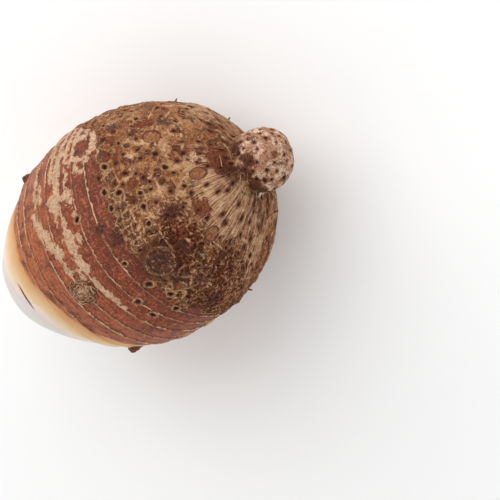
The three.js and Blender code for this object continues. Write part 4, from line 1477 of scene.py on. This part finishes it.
class SkinGraph(Graph):
    """The skin's nodes: noises and wrinkles that its parts share, and a method for each part's tint."""

    def __init__(self, settings):
        super().__init__("corm_skin")
        self.settings = settings
        self.wrap = self.mark("wrap", "Vector")
        self.place = self.mark("place", "Vector")
        self.broad = self.noise(self.place, BROAD_GRAIN)
        self.medium = self.noise(self.place, MEDIUM_GRAIN)
        self.cloud = self.noise(self.place, GROUND_CLOUD, 4.0, 0.62)
        self.blot = self.noise(self.place, GROUND_BLOT, 4.0)
        self.off_broad = self.minus(self.broad, 0.5)
        self.off_medium = self.minus(self.medium, 0.5)
        self.off_fine = self.minus(self.noise(self.place, FINE_GRAIN, 2.0), 0.5)
        self.ring_station = self.wandering(self.mark("station"), 2.4, 1.8)
        # Fine curled wrinkles: the level lines of a noise, with a pale crest and a dark valley beside it. As
        # tints, the crest is a painted highlight and the valley painted shade; the bump raises one and sinks
        # the other.
        curl = self.minus(self.noise(self.place, WRINKLE_SIZE, 1.0, 0.5), 0.5)
        self.crest = self.step(self.away(curl, 0.0), 0.02, 0.006)
        self.valley = self.step(self.away(curl, 0.035), 0.025, 0.005)
        self.pale_island = self.inside("pale", 0.1, 0.6)
        self.netted = self.inside("netted", -0.1, 0.4)
        self.net = self.step(self.wandering(self.mark("net_in"), 8.0, 6.0), -0.5, 0.5)

    def wandering(self, value, broad=0.0, medium=0.0):
        """A value whose level lines wander with the broad and the medium noise, each times its factor."""
        if broad:
            value = self.plus(value, self.off_broad, broad)
        return self.plus(value, self.off_medium, medium) if medium else value

    def inside(self, name, low, high, share=1.0):
        """How far inside the islands of a mark a place is, up to a share, with soft, wandering edges."""
        return self.step(self.wandering(self.mark(name), 1.2, 0.8), low, high, 0.0, share)

    def by_net(self, loose, netted):
        """One number where the cells lie loose, another where they are netted together."""
        return self.step(self.netted, 0.0, 1.0, loose, netted)

    def bands(self):
        """Satin ring bands, redder towards the root end, each of its own tone, with streaks round it."""
        settings = self.settings
        first, last = BAND_RANGE
        share = self.share(self.mark("station"), first, last)
        tint = self.ramp(share, ((0.0, settings.band_crown), (0.3, settings.band_middle),
                                 (0.7, settings.band_root), (0.82, settings.band_dark)))
        draws = np.random.default_rng(BAND_SEED)
        tones = [(0.0, (0.5,) * 3)]
        for ring in CROWN_RINGS:
            tones.append(((ring - first) / (last - first), (float(draws.uniform(*BAND_TONES)),) * 3))
        tint = self.mix(0.6, tint, self.ramp(share, tones, "CONSTANT"), "SOFT_LIGHT")
        streak = self.noise(self.stretched(self.wrap, STREAK_STRETCH), STREAK_SIZE)
        cloud = self.noise(self.place, BAND_CLOUD)
        return self.layers(
            tint,
            (streak, 0.46, 0.66, 0.6, STREAK_DARK),
            (streak, 0.45, 0.28, 0.45, STREAK_PALE),
            (cloud, 0.5, 0.64, 0.7, BAND_CLOUD_DARK),
            (cloud, 0.46, 0.32, 0.4, BAND_CLOUD_PALE),
            (self.off_medium, 0.03, 0.16, 0.55, BAND_SPOT_DARK),
            (self.off_medium, -0.05, -0.17, 0.4, BAND_SPOT_PALE),
            (self.off_fine, 0.02, 0.2, 0.45, BAND_GRAIN_DARK),
            (self.off_fine, -0.05, -0.25, 0.42, BAND_GRAIN_PALE))

    def lined_bands(self, line_share):
        """The bands with a pale line on each ring, a thin shadow behind it, and pale dots."""
        shadow = self.nearest(self.minus(self.ring_station, 0.8), CROWN_RINGS)
        tint = self.layers(self.bands(), (shadow, 0.8, 0.2, 0.4, RING_SHADOW))
        tint = self.mix(self.times(line_share, 0.9), tint, RING_LINE)
        dots = self.cells(self.place, DOT_CELL)["Distance"]
        return self.layers(tint, (dots, 0.15, 0.07, 0.55, BAND_DOT))

    def cork(self):
        """The cork that lies over the bands, with dark pinholes."""
        pins = self.cells(self.place, PIN_CELL)["Distance"]
        return self.layers(
            CORK_LIGHT,
            (self.medium, 0.42, 0.64, 1.0, CORK_DEEP),
            (self.off_fine, 0.02, 0.2, 0.35, CORK_GRAIN),
            (pins, 0.17, 0.1, 0.85, CORK_PIN))

    def ground(self):
        """The root half's ground: tan cork with brown clouds, a fine grain and pale islands."""
        settings = self.settings
        tint = self.layers(
            settings.cork_pale,
            (self.cloud, 0.36, 0.52, 1.0, settings.cork_tan),
            (self.blot, 0.45, 0.53, 0.9, settings.cork_brown),
            (self.off_medium, 0.01, 0.13, 0.65, GROUND_SPOT_DARK),
            (self.off_medium, -0.05, -0.17, 0.4, GROUND_SPOT_PALE),
            (self.off_fine, 0.02, 0.16, 0.6, GROUND_GRAIN_DARK),
            (self.off_fine, -0.05, -0.18, 0.3, GROUND_GRAIN_PALE))
        island = self.layers(ISLAND_PALE, (self.medium, 0.38, 0.6, 1.0, ISLAND_TAN))
        return self.mix(self.times(self.pale_island, 0.85), tint, island)

    def cell_fields(self):
        """Distance to the cell's border in millimetres, and its two draws, of the large or small cells."""
        small = self.step(self.mark("small"), 0.4, 0.6)
        borders, draws = [], []
        for size in (LARGE_CELL, SMALL_CELL):
            borders.append(self.times(self.cells(self.place, size, "DISTANCE_TO_EDGE")["Distance"], size))
            draw = self.cells(self.place, size)["Color"]
            draws.append(self.node("ShaderNodeSeparateColor", {0: draw}).outputs)
        border = self.wandering(self.blend(small, *borders), medium=1.6)
        return border, *(self.blend(small, draws[0][i], draws[1][i]) for i in range(2))

    def cells_over(self, tint, border, draw, hue):
        """Cells of the older skin, each of its own tint. Between them the cork shows, narrow or wide."""
        settings = self.settings
        gap = self.plus(self.by_net(0.8, 0.24), self.pale_island, 3.0)
        gap = self.plus(gap, self.off_broad, self.by_net(7.0, 2.5))
        deep_in = self.step(self.mark("net_in"), 0.0, 12.0)
        inner = self.minus(border, self.times(gap, deep_in))
        fill = self.ramp(hue, ((0.1, settings.cell_slate), (0.26, settings.cell_purple),
                               (0.45, settings.cell_dark), (0.68, settings.cell_red),
                               (1.0, settings.cork_brown)))
        fill = self.layers(
            fill,
            (self.off_medium, 0.0, 0.16, 0.6, CELL_SPOT_DARK),
            (self.off_fine, -0.02, -0.2, 0.45, CELL_GRAIN_PALE),
            (inner, 0.8, 0.1, 0.7, CELL_EDGE))
        kept = self.minus(self.by_net(0.74, 1.1), draw)
        kept = self.math("ADD", kept, self.step(deep_in, 0.6, 0.0))
        covered = self.times(self.step(inner, 0.0, 0.25), self.step(kept, 0.0, 0.08))
        return self.mix(self.times(covered, 0.94), tint, fill)

    def net_lines(self, border):
        """How clearly the net's pale lines show between the cells."""
        line = self.step(self.plus(border, self.off_broad, 4.0), 0.75, 0.2)
        return self.times(line, self.by_net(0.1, 0.85), self.step(self.broad, 0.38, 0.54, 0.2))

    def wrinkles_over(self, tint, wrinkled):
        """Fine curled wrinkles over the net, painted shade in each valley and a painted highlight on each
        crest, and grain.
        """
        # Painted shade in each valley, then a painted highlight on each crest.
        tint = self.mix(self.times(self.valley, wrinkled), tint, WRINKLE_PAINTED_SHADE)
        tint = self.mix(self.times(self.crest, wrinkled), tint, WRINKLE_PAINTED_HIGHLIGHT)
        return self.layers(
            tint,
            (self.off_fine, 0.01, 0.15, 0.45, NET_GRAIN_DARK),
            (self.off_fine, -0.03, -0.16, 0.3, NET_GRAIN_PALE))

    def fibres_over(self, tint, fibre, fibre_share):
        """Fibres along the corm, pale and dark, painted shade on the -Y flank that is partly its own darker
        skin, and the rings' broken pale lines.
        """
        tint = self.mix(self.times(self.step(fibre, 0.47, 0.57), fibre_share), tint, FIBRE_LIGHT)
        tint = self.mix(self.times(self.step(fibre, 0.42, 0.33), fibre_share), tint, FIBRE_SHADE)
        # Painted shade over the -Y flank, partly its darker skin; where the medium noise is low it is laid
        # on more thinly.
        mottled = self.step(self.off_medium, -0.08, 0.03, 0.4)
        shade_and_dark_skin = self.times(self.inside("shade_and_dark_skin", -0.1, 0.7, 0.95), mottled)
        tint = self.mix(shade_and_dark_skin, tint, FLANK_SHADE_AND_DARK_SKIN, "MULTIPLY")
        line = self.wandering(self.nearest(self.ring_station, ROOT_RINGS), medium=2.0)
        line = self.times(self.step(line, 0.55, 0.2), self.step(self.blot, 0.5, 0.58, 0.0, 0.7))
        return self.mix(line, tint, self.settings.cork_pale)

    def islands_over(self, tint):
        """Smooth red islands and dark purple patches."""
        settings = self.settings
        red = self.layers(
            settings.cell_red,
            (self.medium, 0.35, 0.62, 1.0, RED_SHADE),
            (self.off_fine, 0.0, 0.2, 0.5, RED_GRAIN_DARK),
            (self.off_fine, -0.02, -0.18, 0.5, RED_GRAIN_PALE))
        scab = self.layers(
            settings.scab,
            (self.medium, 0.4, 0.62, 1.0, settings.cell_purple),
            (self.off_fine, -0.02, -0.16, 0.6, SCAB_GRAIN_PALE),
            (self.off_fine, 0.02, 0.16, 0.6, SCAB_GRAIN_DARK))
        # Painted highlight on the crests of the scabs' wrinkles.
        scab = self.mix(self.times(self.crest, 0.7), scab, SCAB_WRINKLE_PAINTED_HIGHLIGHT)
        tint = self.mix(self.inside("red", 0.2, 0.34, 0.92), tint, red)
        return self.mix(self.inside("dark", 0.05, 0.6, 0.88), tint, scab)

    def discs_over(self, tint):
        """Smooth discs with a dark rim line."""
        disc = self.wandering(self.mark("disc"), medium=0.15)
        smooth = self.layers(DISC_PALE, (self.medium, 0.38, 0.6, 1.0, DISC_BROWN))
        rim = self.away(disc, 1.0)
        return self.layers(tint, (disc, 1.0, 0.93, 0.8, smooth), (rim, 0.16, 0.04, 0.9, DISC_RIM))

    def broken_over(self, tint):
        """Broken-off side corms: a dark surround, a swirled core and a pale rim."""
        broken = self.wandering(self.mark("broken"), 0.9, 0.5)
        swirl = self.math("SINE", self.times(broken, 15.0))
        core = self.layers(
            BROKEN_CORE,
            (self.off_medium, -0.02, -0.14, 1.0, BROKEN_CORE_PALE),
            (swirl, 0.3, 1.0, 0.5, BROKEN_SWIRL),
            (self.off_fine, 0.0, 0.2, 0.6, BROKEN_GRAIN))
        tint = self.layers(tint, (broken, 1.6, 1.0, 0.7, BROKEN_SURROUND), (broken, 0.9, 0.75, 0.9, core))
        rim = self.step(self.away(self.mark("broken"), BROKEN_RIM_SHARE), 0.12, 0.03, 0.0, 0.8)
        return self.mix(self.times(rim, self.step(self.medium, 0.5, 0.58)), tint, BROKEN_RIM)

    def knob_over(self, tint):
        """The knob, pinkish tan and mottled, with painted shade and highlights on its wrinkles, and painted
        shade in the groove round its neck, heavier on the -Y side and partly its dark scabs.
        """
        knob = self.layers(
            self.settings.knob_pale,
            (self.cloud, 0.42, 0.58, 1.0, self.settings.knob_brown),
            (self.medium, 0.5, 0.62, 0.75, KNOB_SPOT),
            (self.off_fine, 0.0, 0.16, 0.6, KNOB_GRAIN_DARK),
            (self.off_fine, -0.04, -0.18, 0.4, KNOB_GRAIN_PALE))
        # Painted shade in the wrinkle valleys and painted highlight on the crests.
        knob = self.mix(self.times(self.valley, 0.6), knob, KNOB_WRINKLE_PAINTED_SHADE)
        knob = self.mix(self.times(self.crest, 0.6), knob, KNOB_WRINKLE_PAINTED_HIGHLIGHT)
        tint = self.mix(self.times(self.mark("knob"), self.inside("dark", 0.4, 0.05)), tint, knob)
        # Painted shade in the groove round the neck, heavier towards -Y where the key light does not reach,
        # partly the dark scabs there.
        groove = self.step(self.away(self.ring_station, NECK_STATION + 2.0), 3.6, 0.6)
        side = self.node("ShaderNodeSeparateXYZ", {0: self.wrap}).outputs["Y"]
        dark_side = self.step(side, 44.0, -6.0, 0.2, 0.8)
        groove = self.times(groove, dark_side, self.step(self.blot, 0.42, 0.56, 0.3))
        return self.mix(groove, tint, NECK_GROOVE_SHADE_AND_SCAB)

    def crown_over(self, tint):
        """The pale crown with its threads, and the gap behind it."""
        crown_in = self.wandering(self.mark("crown_in"), medium=3.0)
        threads = self.noise(self.stretched(self.wrap, THREAD_STRETCH), THREAD_SIZE)
        crown = self.ramp(self.share(crown_in, 0.0, CROWN_FADE), CROWN_TINTS)
        crown = self.layers(crown, (threads, 0.52, 0.7, 0.25, CROWN_THREAD))
        slit = self.mark("slit")
        return self.layers(tint, (crown_in, -0.6, 1.4, 1.0, crown), (slit, 0.2, 0.7, 1.0, SLIT_TINT))

    def scars_over(self, tint):
        """Root scars: a dark halo, a pale rim and a dark pit."""
        halo = self.wandering(self.mark("halo"), medium=0.7)
        tint = self.layers(tint, (halo, 0.25, 0.7, 0.8, SCAR_HALO))
        rim = self.times(self.mark("rim"), self.step(self.medium, 0.4, 0.56, 0.1), 0.75)
        tint = self.mix(rim, tint, SCAR_RIM)
        return self.layers(tint, (self.mark("pit"), 0.1, 0.7, 1.0, self.settings.pit))


def skin_material(settings):
    """The corm's skin: bands and cork, the root half's ground and net, then what lies over both."""
    graph = SkinGraph(settings)
    times, off_fine, net = graph.times, graph.off_fine, graph.net
    line = graph.wandering(graph.nearest(graph.ring_station, CROWN_RINGS), medium=0.5)
    present = graph.step(graph.noise(graph.place, LINE_GAP, 2.0, 0.5), 0.42, 0.54, 0.3)
    line_share = times(graph.step(line, 0.5, 0.15), present)
    cork_share = graph.step(graph.wandering(graph.mark("cork_in"), 12.0, 5.0), 0.0, 0.35)
    band = graph.mix(cork_share, graph.lined_bands(line_share), graph.cork())

    border, draw, hue = graph.cell_fields()
    net_line = graph.net_lines(border)
    net_line_tint = graph.layers(settings.cork_pale, (graph.medium, 0.35, 0.65, 1.0, settings.cork_tan))
    root_half = graph.cells_over(graph.ground(), border, draw, hue)
    root_half = graph.mix(net_line, root_half, net_line_tint)
    wrinkled = graph.by_net(0.15, 0.6)
    root_half = graph.wrinkles_over(root_half, wrinkled)
    fibre = graph.noise(graph.stretched(graph.wrap, ALONG_STRETCH), FIBRE_SIZE, 3.0, 0.65)
    fibre_share = graph.step(graph.inside("fibrous", -0.2, 0.4), 0.0, 1.0, 0.06, 0.9)
    root_half = graph.fibres_over(root_half, fibre, fibre_share)

    tint = graph.mix(net, band, root_half)
    for lay_over in (graph.islands_over, graph.discs_over, graph.broken_over, graph.knob_over):
        tint = lay_over(tint)
    fleck = graph.wandering(graph.mark("fleck"), medium=1.2)
    tint = graph.layers(tint, (fleck, 0.05, 0.3, 1.0, FLESH_FLECK))
    tint = graph.scars_over(graph.crown_over(tint))

    rough_cork = graph.math("MAXIMUM", cork_share, net)
    roughness = graph.plus(graph.math("ADD", times(rough_cork, 0.3), 0.48), off_fine, 0.25)
    grain = graph.math("ADD", off_fine, graph.off_medium)
    height = times(grain, graph.step(rough_cork, 0.0, 1.0, 0.12, 0.95))
    heights = (
        (net_line, 0.25),
        (times(graph.minus(graph.crest, graph.valley), wrinkled, net), 0.12),
        (cork_share, 0.2),
        (line_share, 0.15),
        (times(fibre, fibre_share, net), 0.8),
    )
    for share, full in heights:
        height = graph.plus(height, share, full)
    return graph.finish(tint, roughness, height)


def bud_material(settings):
    """Bud scales: dark purple-brown, paler and drier at each scale's edge."""
    graph = Graph("bud_scales")
    place = graph.node("ShaderNodeTexCoord").outputs["Object"]
    medium = graph.noise(place, BUD_GRAIN * MM)
    broad = graph.noise(place, BUD_CLOUD * MM, 2.0, 0.5)
    husk = graph.layers(settings.fibre_pale, (medium, 0.4, 0.6, 1.0, settings.cork_brown))
    tint = graph.layers(
        settings.bud,
        (medium, 0.35, 0.65, 1.0, settings.cork_brown),
        (broad, 0.4, 0.6, 0.5, settings.scab))
    tint = graph.mix(graph.times(graph.mark("dry"), 0.75), tint, husk)
    tint = graph.layers(tint, (graph.mark("edge"), 0.75, 0.98, 0.7, settings.fibre_pale))
    return graph.finish(tint, BUD_ROUGHNESS, graph.times(medium, 0.8))


def fibre_material(settings):
    """Dry fibres, each of its own tone between dark brown and tan."""
    graph = Graph("dry_fibre")
    stops = ((0.0, settings.fibre_dark), (0.45, FIBRE_MIDDLE), (1.0, settings.fibre_pale))
    return graph.finish(graph.ramp(graph.mark("tone"), stops), FIBRE_ROUGHNESS, 0.0)


# Settings, operators and panel

def tint_setting(name, description, red, green, blue):
    """A colour property whose default is given in display values."""
    return bpy.props.FloatVectorProperty(
        name=name, description=description, subtype="COLOR", size=3, min=0.0, max=1.0,
        default=colour(red, green, blue))


class TaroSkinSettings(bpy.types.PropertyGroup):
    """Colours of the corm's skin."""

    band_crown: tint_setting("Crown band", "Ring bands next to the crown", 198, 122, 74)
    band_middle: tint_setting("Middle band", "Ring bands half way to the cork", 170, 98, 68)
    band_root: tint_setting("Root band", "Ring bands before the cork", 142, 74, 53)
    band_dark: tint_setting("Dark band", "The last band, next to the cork net", 112, 57, 44)
    cork_pale: tint_setting("Pale cork", "The palest cork", 218, 176, 134)
    cork_tan: tint_setting("Tan cork", "Most of the cork", 178, 122, 76)
    cork_brown: tint_setting("Brown cork", "Weathered cork", 140, 80, 48)
    cell_slate: tint_setting("Slate cell", "The greyest cells of the net", 80, 50, 44)
    cell_purple: tint_setting("Purple cell", "Purple-brown cells of the net", 92, 48, 38)
    cell_dark: tint_setting("Dark cell", "Dark brown cells of the net", 90, 44, 28)
    cell_red: tint_setting("Red cell", "Red-brown cells of the net", 136, 68, 40)
    scab: tint_setting("Scab", "Dark purple patches", 60, 34, 32)
    pit: tint_setting("Pit", "The bottom of a root scar", 72, 40, 28)
    knob_pale: tint_setting("Pale knob", "Smooth places on the knob", 240, 203, 174)
    knob_brown: tint_setting("Brown knob", "Mottling on the knob", 194, 140, 110)
    bud: tint_setting("Bud", "The scales of a bud", 86, 52, 46)
    fibre_pale: tint_setting("Pale fibre", "The palest dry fibres", 208, 172, 136)
    fibre_dark: tint_setting("Dark fibre", "The darkest dry fibres", 84, 56, 42)


class TaroStageSettings(bpy.types.PropertyGroup):
    """The camera and the light."""

    distance: bpy.props.FloatProperty(
        name="Camera distance", description="From the camera to the corm's axis", unit="LENGTH",
        default=5.0, min=0.3)
    key_power: bpy.props.FloatProperty(
        name="Key light", description="Power of the light from the picture's upper left, in watts",
        default=9.5, min=0.0)
    fill_power: bpy.props.FloatProperty(
        name="Fill light", description="Power of each light round the sides, in watts",
        default=1.2, min=0.0)
    sky: bpy.props.FloatProperty(
        name="Sky", description="Strength of the even light from all round", default=0.56, min=0.0)


def skin_from_settings():
    """The skin's material, made once and shared by the skin and its root scars."""
    made = bpy.data.materials.get("corm_skin")
    return made or skin_material(bpy.context.scene.taro_skin)


class TARO_OT_skin(bpy.types.Operator):
    """Builds the whole skin of the corm in place of the CAD node"""

    bl_idname = "taro.skin"
    bl_label = "Skin"

    def execute(self, context):
        build_skin(skin_from_settings())
        return {"FINISHED"}


class TARO_OT_root_scars(bpy.types.Operator):
    """Builds the craters that the roots left"""

    bl_idname = "taro.root_scars"
    bl_label = "Root scars"

    def execute(self, context):
        build_root_scars(skin_from_settings())
        return {"FINISHED"}


class TARO_OT_buds(bpy.types.Operator):
    """Builds the buds in the leaf axils"""

    bl_idname = "taro.buds"
    bl_label = "Buds"

    def execute(self, context):
        build_buds(bud_material(context.scene.taro_skin))
        return {"FINISHED"}


class TARO_OT_fibres(bpy.types.Operator):
    """Builds the dry fibres and the root stubs"""

    bl_idname = "taro.fibres"
    bl_label = "Fibres"

    def execute(self, context):
        build_fibres(fibre_material(context.scene.taro_skin))
        return {"FINISHED"}


def camera_turn():
    """Unit vectors right, up and back of the camera, in the frame."""
    lean, roll = CAMERA_LEAN, CAMERA_ROLL
    back = Vector((math.sin(lean), 0.0, math.cos(lean)))
    right = Vector((math.cos(lean) * math.cos(roll), -math.sin(roll), -math.sin(lean) * math.cos(roll)))
    return right, back.cross(right), back


def add_light(name, place, target, size, power):
    """A square area light at a place, turned to a target."""
    data = bpy.data.lights.new(name, "AREA")
    data.size = size
    data.energy = power
    light = bpy.data.objects.new(name, data)
    light.location = place
    light.rotation_euler = (target - place).to_track_quat("-Z", "Y").to_euler()
    bpy.context.scene.collection.objects.link(light)


def build_floor():
    """A plain pale floor under the corm."""
    mesh = bpy.data.meshes.new("floor")
    corners = np.array(((-1, -1, 0), (1, -1, 0), (1, 1, 0), (-1, 1, 0))) * FLOOR_HALF
    mesh.from_pydata(corners, [], [(0, 1, 2, 3)])
    graph = Graph("pale_floor")
    inputs = {"Base Color": FLOOR_TINT, "Roughness": FLOOR_ROUGHNESS}
    shader = graph.node("ShaderNodeBsdfPrincipled", inputs)
    graph.node("ShaderNodeOutputMaterial", {"Surface": shader.outputs[0]})
    mesh.materials.append(graph.material)
    floor = bpy.data.objects.new("floor", mesh)
    bpy.context.scene.collection.objects.link(floor)


class TARO_OT_stage(bpy.types.Operator):
    """Builds the floor, the lights and the camera"""

    bl_idname = "taro.stage"
    bl_label = "Stage"

    def execute(self, context):
        settings = context.scene.taro_stage
        build_floor()
        right, up, back = camera_turn()
        middle = Vector(AXIS * MM)
        aim = middle + FRAME_ACROSS * MM * right + FRAME_UP * MM * up
        data = bpy.data.cameras.new("camera")
        data.sensor_width = SENSOR_WIDTH
        data.lens = SENSOR_WIDTH * settings.distance / (FRAME_WIDTH * MM)
        data.clip_start = CLIP_START
        camera = bpy.data.objects.new("camera", data)
        turn = Matrix((right, up, back)).transposed().to_4x4()
        camera.matrix_world = Matrix.Translation(aim + back * settings.distance) @ turn
        context.scene.collection.objects.link(camera)
        context.scene.camera = camera
        key_place = middle + KEY_PLACE[0] * right + KEY_PLACE[1] * up + KEY_PLACE[2] * back
        add_light("key", key_place, middle, KEY_SIZE, settings.key_power)
        for degrees in FILL_TURNS:
            angle = math.radians(degrees)
            place = middle + Vector((FILL_OUT * math.cos(angle), FILL_OUT * math.sin(angle), FILL_UP))
            add_light(f"fill_{degrees}", place, middle, FILL_SIZE, settings.fill_power)
        world = bpy.data.worlds.new("studio")
        world.use_nodes = True
        background = world.node_tree.nodes["Background"]
        background.inputs["Color"].default_value = (1.0, 1.0, 1.0, 1.0)
        background.inputs["Strength"].default_value = settings.sky
        context.scene.world = world
        context.scene.view_settings.view_transform = "Standard"
        return {"FINISHED"}


class TARO_PT_panel(bpy.types.Panel):
    """Lists the corm's pieces and settings"""

    bl_label = "Taro corm"
    bl_space_type = "VIEW_3D"
    bl_region_type = "UI"
    bl_category = "Taro"

    def draw(self, context):
        for operator in PIECE_OPERATORS:
            self.layout.operator(operator.bl_idname)
        for group in (context.scene.taro_skin, context.scene.taro_stage):
            for name in group.__annotations__:
                self.layout.prop(group, name)


PIECE_OPERATORS = (TARO_OT_skin, TARO_OT_root_scars, TARO_OT_buds, TARO_OT_fibres, TARO_OT_stage)
CLASSES = (TaroSkinSettings, TaroStageSettings, *PIECE_OPERATORS, TARO_PT_panel)


def register():
    for each in CLASSES:
        bpy.utils.register_class(each)
    bpy.types.Scene.taro_skin = bpy.props.PointerProperty(type=TaroSkinSettings)
    bpy.types.Scene.taro_stage = bpy.props.PointerProperty(type=TaroStageSettings)


def unregister():
    del bpy.types.Scene.taro_stage
    del bpy.types.Scene.taro_skin
    for each in reversed(CLASSES):
        bpy.utils.unregister_class(each)


def main():
    register()
    bpy.ops.taro.skin()
    bpy.ops.taro.root_scars()
    bpy.ops.taro.buds()
    bpy.ops.taro.fibres()
    bpy.ops.taro.stage()


if __name__ == "__main__":
    main()
